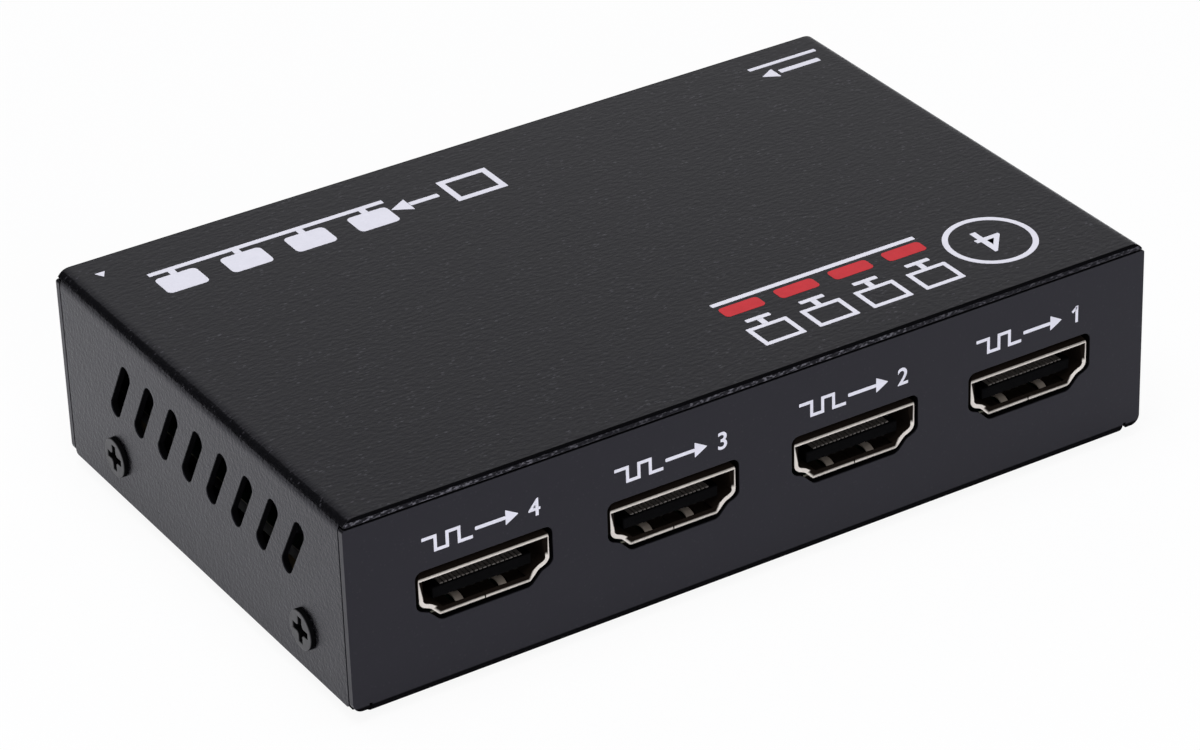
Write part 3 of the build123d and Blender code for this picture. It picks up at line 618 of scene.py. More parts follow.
@dataclass(frozen=True)
class PowderCoat(Finish):
    """Black epoxy powder coat on folded steel: a soft sheen, broken by the grain of the melted powder.

    The powder gathers on cut edges in small beads in relief; along the rims of the sheet their crests are
    painted paler, patchily, as a painted highlight for their glints.
    """

    rim: float = 30.2
    rim_levels: Span = (22.85, 23.3)
    bead: float = 0.2
    bead_depth: float = 0.06
    # Painted highlight: the beads' crests on the rims take this paler tone for their glints
    bead_tone: str = "#5e5d64"
    bead_roughness: float = 0.8
    bead_levels: Span = (0.5, 0.66)
    # The size and levels of the clouds by which the painted glints come and go along the rims
    wear: float = 18.0
    wear_levels: Span = (0.4, 0.6)
    least_wear: float = 0.3
    speck: float = 0.5
    speck_share: float = 0.5
    speck_tone: str = "#48474d"
    speck_levels: Span = (0.28, 0.1)
    patch_levels: Span = (0.42, 0.62)
    tint: tuple[float, float, float, float] = (0.82, 0.8, 1.0, 1.0)

    def lumps(self, tree: NodeTree, place: NodeSocket) -> NodeSocket:
        """The heights of the beads."""
        return add_node(tree, "ShaderNodeTexNoise",
                        {"Vector": place, "Scale": per_metre(self.bead), "Detail": 1.5}).outputs[0]

    def rim_mask(self, tree: NodeTree, place: NodeSocket) -> NodeSocket:
        """1 on the sheet's front and rear rims between two levels, 0 elsewhere."""
        apart = add_node(tree, "ShaderNodeSeparateXYZ", {0: place}).outputs
        centre = add_node(tree, "ShaderNodeMath", {0: apart[1], 1: -FRAME_SHIFT_Y * MM}, operation="ADD")
        distance = add_node(tree, "ShaderNodeMath", {0: centre.outputs[0]}, operation="ABSOLUTE")
        mask = add_node(tree, "ShaderNodeMapRange",
                        {0: distance.outputs[0], 1: self.rim * MM, 2: (self.rim + 0.1) * MM})
        for level, operation in zip(self.rim_levels, ("GREATER_THAN", "LESS_THAN")):
            side = add_node(tree, "ShaderNodeMath", {0: apart[2], 1: level * MM}, operation=operation)
            mask = add_node(tree, "ShaderNodeMath", {0: mask.outputs[0], 1: side.outputs[0]},
                            operation="MULTIPLY")
        return mask.outputs[0]

    def colour_at(self, tree: NodeTree, place: NodeSocket) -> NodeSocket:
        """The clouds, with pale grains where the powder melted last, and the beads' crests on the rims painted
        paler as painted glints.
        """
        clouds = super().colour_at(tree, place)
        cells = add_node(tree, "ShaderNodeTexVoronoi", {"Vector": place, "Scale": per_metre(self.speck)})
        grains = add_node(tree, "ShaderNodeMapRange", {0: cells.outputs["Distance"], 1: self.speck_levels[0],
                                                       2: self.speck_levels[1], 3: 0.0, 4: self.speck_share})
        drift = add_node(tree, "ShaderNodeTexNoise", {"Vector": place, "Scale": per_metre(3 * self.speck)})
        patch = add_node(tree, "ShaderNodeMapRange",
                         {0: drift.outputs[0], 1: self.patch_levels[0], 2: self.patch_levels[1]})
        specks = add_node(tree, "ShaderNodeMath", {0: grains.outputs[0], 1: patch.outputs[0]},
                          operation="MULTIPLY")
        crests = add_node(tree, "ShaderNodeMapRange",
                          {0: self.lumps(tree, place), 1: self.bead_levels[0], 2: self.bead_levels[1]})
        glint_noise = add_node(tree, "ShaderNodeTexNoise",
                        {"Vector": place, "Scale": per_metre(self.wear), "Detail": 1.0})
        glint_share = add_node(tree, "ShaderNodeMapRange", {0: glint_noise.outputs[0], 1: self.wear_levels[0],
                                                     2: self.wear_levels[1], 3: self.least_wear, 4: 1.0})
        # Painted highlight: the bead crests on the rims, where the glint clouds allow
        beads = add_node(tree, "ShaderNodeMath", {0: crests.outputs[0], 1: glint_share.outputs[0]},
                         operation="MULTIPLY")
        beads = add_node(tree, "ShaderNodeMath", {0: beads.outputs[0], 1: self.rim_mask(tree, place)},
                         operation="MULTIPLY")
        for amount, tone in ((specks, self.speck_tone), (beads, self.bead_tone)):
            clouds = add_node(tree, "ShaderNodeMix", {0: amount.outputs[0], 6: clouds, 7: linear(tone)},
                              data_type="RGBA").outputs[2]
        return clouds

    def adjust(self, tree: NodeTree, shader: Node) -> None:
        """The resin's faint violet sheen."""
        shader.inputs["Specular Tint"].default_value = self.tint

    def roughness_at(self, tree: NodeTree, place: NodeSocket) -> NodeSocket:
        """Satin on the flats and duller on the beaded rims."""
        rough = super().roughness_at(tree, place)
        rims = self.rim_mask(tree, place)
        return add_node(tree, "ShaderNodeMix", {0: rims, 2: rough, 3: self.bead_roughness}).outputs[0]

    def normal_at(self, tree: NodeTree, place: NodeSocket) -> NodeSocket:
        """The powder's grain, and the beads on the rims."""
        grain = super().normal_at(tree, place)
        height = add_node(tree, "ShaderNodeMath", {0: self.lumps(tree, place), 1: self.rim_mask(tree, place)},
                          operation="MULTIPLY")
        return add_node(tree, "ShaderNodeBump", {"Height": height.outputs[0], "Strength": 1.0, "Normal": grain,
                                                 "Distance": self.bead_depth * MM}).outputs[0]


# Texture powder coat: deep black with a fine grain, so that its sheen is all that is seen of it
# Painted shade: behind the sides' outer faces below the top, as in the slots and holes, and on the rounded
# front and rear rims, painted black and dull
COVER_COAT = PowderCoat("textured_powder_coat", "#070709", "#0b0b0d", 0.26, 0.015, specular=0.25, grain=0.42,
                        grain_depth=0.055, stretch=(0.5, 1.0, 1.0),
                        zones=(Zone(0, 48.42, under=21.9), Zone(1, 30.28, 0.05, over=23.3, beyond=True)))
# The same coat sprayed thinner, which leaves the panels smoother and a little darker
# Painted shade: behind the panels' outer faces, as in their holes, painted black and dull, and the lower bends
# painted dark for the shadowed floor that they mirror; the beads along the lower front and rear rims painted
# paler as painted glints
TRAY_COAT = PowderCoat("smooth_powder_coat", "#070709", "#0a0a0c", 0.32, 0.02, specular=0.31, grain=0.6,
                       grain_depth=0.006, rim=29.9, rim_levels=(0.4, 1.2), speck_share=0.12,
                       zones=(Zone(1, 30.42, over=2.2, inside=48.3), Zone(2, 2.0, 0.2, over=0.56)))
# Black oxide under oil: dark grey, satin, bright only along an edge; the heads' sides and cross recesses
# painted black as painted shade
BLACK_ZINC = Finish("black_oxide", "#131215", "#1a191c", 0.34, 0.05, specular=0.45, cloud=1.2, grain=0.15,
                    grain_depth=0.004, zones=(Zone(0, 48.96, 0.04),))
# Nickel over drawn steel: a warm pale grey, drawn lines along the shell; past the rim painted dull dark brown,
# as painted shade inside the shell and in the gap round it
NICKEL = Finish("nickel_plate", "#e3ddd6", "#cfc8c0", 0.3, 0.05, metallic=1.0, cloud=1.5, grain=0.12,
                grain_depth=0.002, stretch=(1.0, 0.15, 1.0), zones=(Zone(1, 30.38, 0.05, "#241e1a"),))
# Spring leaves of the same shells, browned where plugs rub the nickel off
SPRING_NICKEL = Finish("rubbed_nickel", "#a0968d", "#8b8178", 0.5, 0.08, metallic=0.3, cloud=0.6, grain=0.12,
                       grain_depth=0.002)
# Glass-filled liquid crystal polymer: black and matt, with the ribs between the upper contacts painted paler as
# a painted highlight of light on the tongue's top
SOCKET_POLYMER = Finish("glass_filled_polymer", "#040405", "#070708", 0.6, 0.08, specular=0.02, cloud=0.8,
                        grain=0.08, grain_depth=0.004,
                        zones=(Zone(2, 12.28, 0.02, "#55514e", 0.6, under=12.5, beyond=True),))
# Gold flash over nickel: thin, so pale and greyish, dulled by flux, and dark in the tongue's shade
GOLD_FLASH = Finish("gold_flash", "#67625f", "#57534f", 0.42, 0.06, metallic=0.35, cloud=0.8, grain=0.1,
                    grain_depth=0.001, zones=(Zone(2, 11.2, 0.05, "#151412", over=10.7),))
# Tin plating: bright but soft, with a crystalline mottling
TIN = Finish("tin_plate", "#c8c8c6", "#b1b1b0", 0.36, 0.08, metallic=1.0, cloud=0.6, grain=0.1,
             grain_depth=0.002)
# Moulded polyester: satin black with fine spark erosion from its mould
MOULDED_BLACK = Finish("moulded_polyester", "#161617", "#1d1d1e", 0.5, 0.06, cloud=2.0, grain=0.12,
                       grain_depth=0.006)
# Nitrile rubber: matt, greyish black, slightly dusty
RUBBER = Finish("nitrile_rubber", "#1a1a1a", "#232322", 0.82, 0.06, cloud=1.5, grain=0.18, grain_depth=0.01)
# Moulded epoxy with silica filler: matt dark grey
CHIP_EPOXY = Finish("silica_filled_epoxy", "#1f1f21", "#28282a", 0.62, 0.05, cloud=0.6, grain=0.06,
                    grain_depth=0.004)
# Silicone gap filler: soft, pale blue-grey
SILICONE = Finish("silicone_gap_filler", "#8c9aa8", "#7d8b99", 0.7, 0.05, cloud=1.5, grain=0.3,
                  grain_depth=0.008)
# Extruded aluminium: die lines along the fins
EXTRUDED = Finish("extruded_aluminium", "#c9cbcf", "#b7b9bd", 0.34, 0.06, metallic=1.0, cloud=2.0, grain=0.14,
                  grain_depth=0.004, stretch=(1.0, 0.05, 1.0))
# Sintered ferrite: dark, dense and faintly sparkling
FERRITE = Finish("sintered_ferrite", "#2c2c2f", "#3a3a3e", 0.58, 0.08, cloud=0.4, grain=0.1, grain_depth=0.006)
# Drawn aluminium can
CAN_ALUMINIUM = Finish("drawn_aluminium", "#d6d7da", "#c3c4c8", 0.28, 0.05, metallic=1.0, cloud=1.5, grain=0.1,
                       grain_depth=0.002, stretch=(1.0, 1.0, 0.1))
# Nickel-plated can of the crystal
CRYSTAL_CAN = Finish("nickel_can", "#cfcbc4", "#bdb9b2", 0.3, 0.06, metallic=1.0, cloud=1.8, grain=0.1,
                     grain_depth=0.002)
# Copper-clad laminate of the fuse
FUSE_LAMINATE = Finish("fuse_laminate", "#2f6b3a", "#28593a", 0.4, 0.05, cloud=0.8, grain=0.1,
                       grain_depth=0.003)
# Fired barium titanate: biscuit brown
CERAMIC = Finish("fired_ceramic", "#a5835f", "#8d6d4d", 0.55, 0.06, cloud=0.5, grain=0.06, grain_depth=0.003)
# Glass glaze over a printed resistor
GLAZE = Finish("resistor_glaze", "#17171a", "#202024", 0.25, 0.05, cloud=0.5, grain=0.1, grain_depth=0.001)
# Turned brass: gone dull and brown in the warm air of the case, with turning rings
BRASS = Finish("turned_brass", "#5d4f35", "#4c412c", 0.5, 0.06, metallic=0.8, cloud=1.5, grain=0.1,
               grain_depth=0.003, stretch=(0.15, 0.15, 1.0))
# Clear zinc plating: bluish bright
ZINC = Finish("zinc_plate", "#bfc3c8", "#a8acb2", 0.32, 0.08, metallic=1.0, cloud=1.0, grain=0.12,
              grain_depth=0.003)
# Epoxy screen ink: flat and opaque, white with a faint lavender cast
WHITE_INK = Finish("white_screen_ink", "#dddce8", "#d2d2de", 0.62, 0.04, cloud=1.2, grain=0.42,
                   grain_depth=0.02)
# The same ink in red
RED_INK = Finish("red_screen_ink", "#c4202c", "#b01a26", 0.6, 0.04, cloud=1.2, grain=0.42, grain_depth=0.02)


@dataclass(frozen=True)
class SolderMask(Finish):
    """Glass-epoxy board under dark green solder mask: copper tracks, and saw-cut edges painted dark as painted
    shade, with a thin pale band at their top as a painted highlight.
    """

    track: float = 1.1
    track_gap: float = 0.12
    track_length: float = 6.0
    track_width: float = 0.6
    track_tones: tuple[str, str] = ("#0c2417", "#0b2015")
    gap_tone: str = "#07160d"
    # Painted shade on the board's edges, and a painted highlight along their top above a level
    core_tone: str = "#120e0a"
    lip_tone: str = "#8f8d80"
    lip: float = 8.9

    def colour_at(self, tree: NodeTree, place: NodeSocket) -> NodeSocket:
        """Mask over bare laminate, lighter over the tracks; the edges painted dark brown as painted shade, with
        a pale painted highlight along their top.
        """
        first, second = (linear(tone) for tone in self.track_tones)
        tracks = add_node(tree, "ShaderNodeTexBrick", {
            "Vector": place, "Color1": first, "Color2": second, "Mortar": linear(self.gap_tone),
            "Scale": per_metre(self.track), "Mortar Size": self.track_gap, "Brick Width": self.track_length,
            "Row Height": self.track_width})
        normal = add_node(tree, "ShaderNodeNewGeometry").outputs["Normal"]
        facing = add_node(tree, "ShaderNodeSeparateXYZ", {0: normal})
        flat = add_node(tree, "ShaderNodeMath", {0: facing.outputs[2]}, operation="ABSOLUTE")
        level = add_node(tree, "ShaderNodeSeparateXYZ", {0: place}).outputs[2]
        lip = add_node(tree, "ShaderNodeMath", {0: level, 1: self.lip * MM}, operation="GREATER_THAN")
        shaded_edge = add_node(tree, "ShaderNodeMix",
                        {0: lip.outputs[0], 6: linear(self.core_tone), 7: linear(self.lip_tone)},
                        data_type="RGBA")
        edge = add_node(tree, "ShaderNodeMix", {0: flat.outputs[0], 6: shaded_edge.outputs[2], 7: tracks.outputs[0]},
                        data_type="RGBA")
        return edge.outputs[2]


@dataclass(frozen=True)
class TintedEpoxy(Finish):
    """Cast epoxy of an indicator lamp: tinted, cloudy enough to hide what is inside it."""

    transmission: float = 0.35
    coat: float = 0.3

    def adjust(self, tree: NodeTree, shader: Node) -> None:
        """Lets some light through."""
        shader.inputs["Transmission Weight"].default_value = self.transmission
        shader.inputs["Coat Weight"].default_value = self.coat


BOARD_MASK = SolderMask("solder_mask", "#0c2417", "#07160d", 0.35, 0.05, cloud=3.0, grain=0.5,
                        grain_depth=0.004)
RED_EPOXY = TintedEpoxy("red_tinted_epoxy", "#a01018", "#b8141d", 0.16, 0.03, cloud=1.5, grain=0.5,
                        grain_depth=0.001)
GREEN_EPOXY = TintedEpoxy("green_tinted_epoxy", "#2f8f45", "#37a04f", 0.16, 0.03, cloud=1.5, grain=0.5,
                          grain_depth=0.001)


# Case

@dataclass
class Case:
    """The folded cover and tray, with their screws and feet."""

    width: float = 97.0
    depth: float = 61.0
    top: float = 23.6
    sheet: float = 0.8
    fit_gap: float = 0.15
    edge: float = 0.06
    bend_segments: int = 8
    foot_height: float = 0.5
    cover_bottom: float = 1.65
    cover_bend: float = 1.6
    cover_corner: float = 0.5
    rim_rounding: float = 0.3
    tray_bend: float = 1.6
    relief_depth: float = 2.0
    relief_width: float = 0.3
    panel_top: float = 22.6
    panel_bottom: float = 1.45
    panel_corner: float = 1.1
    panel_top_corner: float = 0.3
    wing: float = 1.85
    vent_count: int = 8
    vent_pitch: float = 5.26
    vent_radius: float = 1.05
    vent_length: float = 6.0
    vent_tilt: float = 30.0
    vent_middle: Span = (-1.5, 15.3)
    vent_sides: int = 24
    screw_ys: Span = (-21.158, 18.858)
    screw_z: float = 6.5
    screw_head: float = 2.2
    screw_head_height: float = 0.5
    screw_head_rounding: float = 0.14
    screw_shank: float = 1.22
    screw_length: float = 4.0
    screw_hole: float = 1.27
    screw_hole_length: float = 12.0
    screw_edge: float = 0.05
    screw_turns: tuple[float, ...] = (0.0, 0.0, -10.0, 12.0)
    thread_turns: int = 12
    thread_core_share: float = 0.86
    recess_wing: Span = (3.5, 0.9)
    recess_depth: float = 1.0
    recess_taper: float = 0.217
    recess_core: Span = (0.2, 0.85)
    recess_over: float = 0.2
    foot_radius: float = 4.0
    foot_x: float = 41.0
    foot_y: float = 24.0
    foot_lip: float = 1.3
    foot_hollow: float = 0.12
    foot_hollow_share: float = 0.9
    foot_rounding: float = 0.22
    foot_edge: float = 0.04
    standoff_x: float = 40.204
    standoff_ys: Span = (-7.1004, 25.0)
    standoff_hole: float = 2.13
    tab: Point = (0.8, 12.0, 9.0)
    collar_radius: float = 2.3
    collar_length: float = 1.2

    @property
    def tray_half(self) -> float:
        """Half the tray's width."""
        return self.width / 2 - self.sheet - self.fit_gap

    @property
    def back(self) -> float:
        """Where the rear panel's outer face stands."""
        return self.depth / 2

    def folded(self, name: str, half_width: float, z: Span, open_faces: Sequence[Point], bends: Test,
               bend: float) -> Object:
        """Folds a sheet: a box that loses some faces and whose bends are rounded.

        Args:
            name: The piece's name.
            half_width: Half its outer width.
            z: Its lower and upper end.
            open_faces: The directions of the faces that go.
            bends: The test for the edges that are bends.
            bend: The bends' outer radius.

        Returns:
            The folded sheet, with its thickness.
        """
        piece = add_block(name, (-half_width, half_width), centred(self.depth), z)
        with editing(piece):
            for direction in open_faces:
                pick(piece, Part.FACES, faces_to(*direction))
                bpy.ops.mesh.delete(type="ONLY_FACE")
            pick(piece, Part.EDGES, bends)
            bevel(bend, self.bend_segments)
        apply_modifier(piece, "SOLIDIFY", thickness=self.sheet, offset=-1.0, use_even_offset=True)
        return piece

    def vent_tools(self) -> list[Object]:
        """What cuts the slanted slots through both sides of the cover."""
        slot = add_rod("vent_tool", self.vent_radius, centred(self.width + 4 * OVERRUN), Axis.X,
                       self.vent_sides)
        moved(slot, turn=(180 / self.vent_sides, 0, 0))
        with editing(slot):
            pick(slot, Part.CORNERS, lambda corner: corner.co.z > 0)
            bpy.ops.transform.translate(value=(0, 0, self.vent_length))
        moved(slot, (0, 0, -self.vent_length / 2))
        moved(slot, turn=(self.vent_tilt, 0, 0))
        y, z = self.vent_middle
        return repeated(slot, [(0, y + step, z) for step in spread(self.vent_count, self.vent_pitch)])

    def screw_places(self) -> list[tuple[int, float]]:
        """The side and y of each cover screw."""
        return [(side, y) for side in SIDES for y in self.screw_ys]

    def screw_holes(self) -> list[Object]:
        """What cuts the holes of the cover screws, in cover and tray alike."""
        hole = add_rod("screw_hole", self.screw_hole, centred(self.screw_hole_length), Axis.X)
        return repeated(hole, [(side * self.width / 2, y, self.screw_z) for side, y in self.screw_places()])

    def round_rims(self, cover: Object) -> None:
        """Rounds the outer edges of the cover's front and rear rims, as pressing leaves them."""
        lowest = self.cover_bottom + self.cover_corner / 2

        def outer(edge: Any) -> bool:
            """Whether an edge runs along the outside of a rim."""
            spot = middle(edge)
            if spot.z <= lowest or any(abs(abs(corner.co.y) - self.back) > NEAR for corner in edge.verts):
                return False
            away = Vector((spot.x, 0, spot.z - self.top / 2))
            return any(face.normal.dot(away) > 0 and abs(face.normal.y) < 0.5 for face in edge.link_faces)

        with editing(cover):
            pick(cover, Part.EDGES, outer)
            bevel(self.rim_rounding, 3, clamp=True)

    def side_end_tool(self) -> Object:
        """What takes the ends off the cover's sides, leaving their free corners round."""
        over = 2 * OVERRUN
        end = self.back - self.sheet - self.fit_gap
        reach = self.width / 2 + over
        keep = add_block("side_keep", (-reach - OVERRUN, reach + OVERRUN), (-end, end),
                         (self.cover_bottom, self.top + over))
        with editing(keep):
            pick(keep, Part.EDGES, both(runs(0), lies(2, high=self.cover_bottom + NEAR)))
            bevel(self.cover_corner, 6)
        tool = add_block("side_end_tool", (-reach, reach), centred(self.depth + 2 * over),
                         (self.cover_bottom - over, self.top - self.sheet))
        return cut(tool, keep)

    def build_cover(self) -> None:
        """The top and both sides, one sheet bent twice."""
        cover = self.folded("cover_shell", self.width / 2, (self.cover_bottom, self.top),
                            [(0, 0, -1), (0, -1, 0), (0, 1, 0)], both(runs(1), lies(2, low=self.top - NEAR)),
                            self.cover_bend)
        self.round_rims(cover)
        cut(cover, self.side_end_tool())
        cut(cover, *self.vent_tools())
        cut(cover, *self.screw_holes())
        set_down(soften(cover, self.edge), COVER_COAT, "top_cover")

    def panel_plate(self, side: int) -> Object:
        """The front or rear panel, as wide as the case, with a wing beside each end of the bend.

        Args:
            side: -1 for the front, 1 for the rear.

        Returns:
            The plate.
        """
        y = between(side * self.back, side * (self.back - self.sheet))
        plate = add_block("panel", centred(self.width), y, (self.panel_bottom, self.panel_top))
        with editing(plate):
            for level, radius in ((self.panel_bottom, self.panel_corner),
                                  (self.panel_top, self.panel_top_corner)):
                pick(plate, Part.EDGES, both(runs(1), lies(2, level - NEAR, level + NEAR)))
                bevel(radius, self.bend_segments)
        return cut(plate, add_block("bend_room", centred(self.width - 2 * self.wing),
                                    centred(self.depth + 2 * OVERRUN),
                                    (-OVERRUN, self.foot_height + self.tray_bend)))

    def relief_tools(self) -> list[Object]:
        """What is taken off the tray's four corners beside its bends."""
        half = self.width / 2
        x = (half - self.wing - self.relief_width, half + OVERRUN)
        y = (self.back - self.relief_depth, self.back + OVERRUN)
        return [add_block("relief", between(end * x[0], end * x[1]), between(side * y[0], side * y[1]),
                          (-OVERRUN, self.top)) for end in SIDES for side in SIDES]

    def build_tray(self, panel_tools: Sequence[Object]) -> None:
        """The bottom and both panels, one sheet bent twice, with four side tabs and every panel hole.

        Args:
            panel_tools: What cuts the holes of the connectors.
        """
        tray = self.folded("tray_shell", self.tray_half, (self.foot_height, self.panel_top),
                           [(0, 0, 1), (-1, 0, 0), (1, 0, 0)],
                           both(runs(0), lies(2, high=self.foot_height + NEAR)), self.tray_bend)
        cut(tray, *self.relief_tools())
        fuse(tray, self.panel_plate(-1), self.panel_plate(1))
        wall, length, height = self.tab
        inner = self.tray_half - wall
        for side, y in self.screw_places():
            collar = between(side * (inner - self.collar_length), side * (inner + wall / 2))
            tab = add_block("tab", between(side * inner, side * self.tray_half),
                            (y - length / 2, y + length / 2), (self.foot_height, self.foot_height + height))
            ring = moved(add_rod("collar", self.collar_radius, collar, Axis.X), (0, y, self.screw_z))
            fuse(tray, fuse(tab, ring))
        cut(tray, *self.screw_holes())
        hole = add_rod("standoff_hole", self.standoff_hole, (-OVERRUN, self.foot_height + self.sheet + OVERRUN))
        cut(tray, *repeated(hole, [(side * self.standoff_x, y, 0) for side in SIDES for y in self.standoff_ys]))
        cut(tray, *panel_tools)
        set_down(soften(tray, self.edge), TRAY_COAT, "base_tray")

    def cross_recess(self) -> Object:
        """What cuts the cross into a screw's head."""
        length, width = self.recess_wing
        z = (self.screw_head_height - self.recess_depth, self.screw_head_height + self.recess_over)
        wing = add_block("recess", centred(length), centred(width), z)
        with editing(wing):
            pick(wing, Part.FACES, faces_to(0, 0, -1))
            bpy.ops.transform.resize(value=(self.recess_taper, self.recess_taper, 1))
        other = copied(wing, turn=(0, 0, 90))
        return fuse(wing, other, add_rod("recess_core", self.recess_core[0], z, sides=16,
                                         end_radius=self.recess_core[1]))

    def build_screws(self) -> None:
        """Four low-headed screws with a cross recess and a rolled thread."""
        screw = add_rod("screw", self.screw_head, (0, self.screw_head_height), sides=64)
        with editing(screw):
            pick(screw, Part.EDGES, lies(2, low=self.screw_head_height - NEAR))
            bevel(self.screw_head_rounding, 3)
            pick(screw, Part.FACES, faces_to(0, 0, -1))
            bpy.ops.mesh.inset(thickness=self.screw_head - self.screw_shank)
            for size in (self.thread_core_share, 1 / self.thread_core_share) * self.thread_turns:
                extrude(z=-self.screw_length / (2 * self.thread_turns))
                bpy.ops.transform.resize(value=(size, size, 1))
        cut(screw, self.cross_recess())
        screws = [moved(copied(screw, turn=(0, 0, spin)), (side * self.width / 2, y, self.screw_z),
                        (0, side * 90, 0))
                  for (side, y), spin in zip(self.screw_places(), self.screw_turns)]
        bpy.data.meshes.remove(screw.data)
        set_down(soften(joined("cross_head_screws", screws), self.screw_edge), BLACK_ZINC,
                 "cover_screws")

    def build_feet(self) -> None:
        """Four rubber feet, rounded below and slightly hollow in the middle."""
        foot = add_rod("foot", self.foot_radius, (0, self.foot_height), sides=64)
        with editing(foot):
            pick(foot, Part.FACES, faces_to(0, 0, -1))
            bpy.ops.mesh.inset(thickness=self.foot_lip)
            extrude(z=self.foot_hollow)
            bpy.ops.transform.resize(value=(self.foot_hollow_share, self.foot_hollow_share, 1))
            pick(foot, Part.EDGES, both(lies(2, high=NEAR), lambda edge: all(
                corner.co.xy.length > self.foot_radius - self.foot_rounding for corner in edge.verts)))
            bevel(self.foot_rounding, 4)
        feet = repeated(foot, [(side * self.foot_x, end * self.foot_y, 0) for side in SIDES for end in SIDES])
        set_down(soften(joined("stick_on_feet", feet), self.foot_edge), RUBBER, "rubber_feet")


# Video sockets

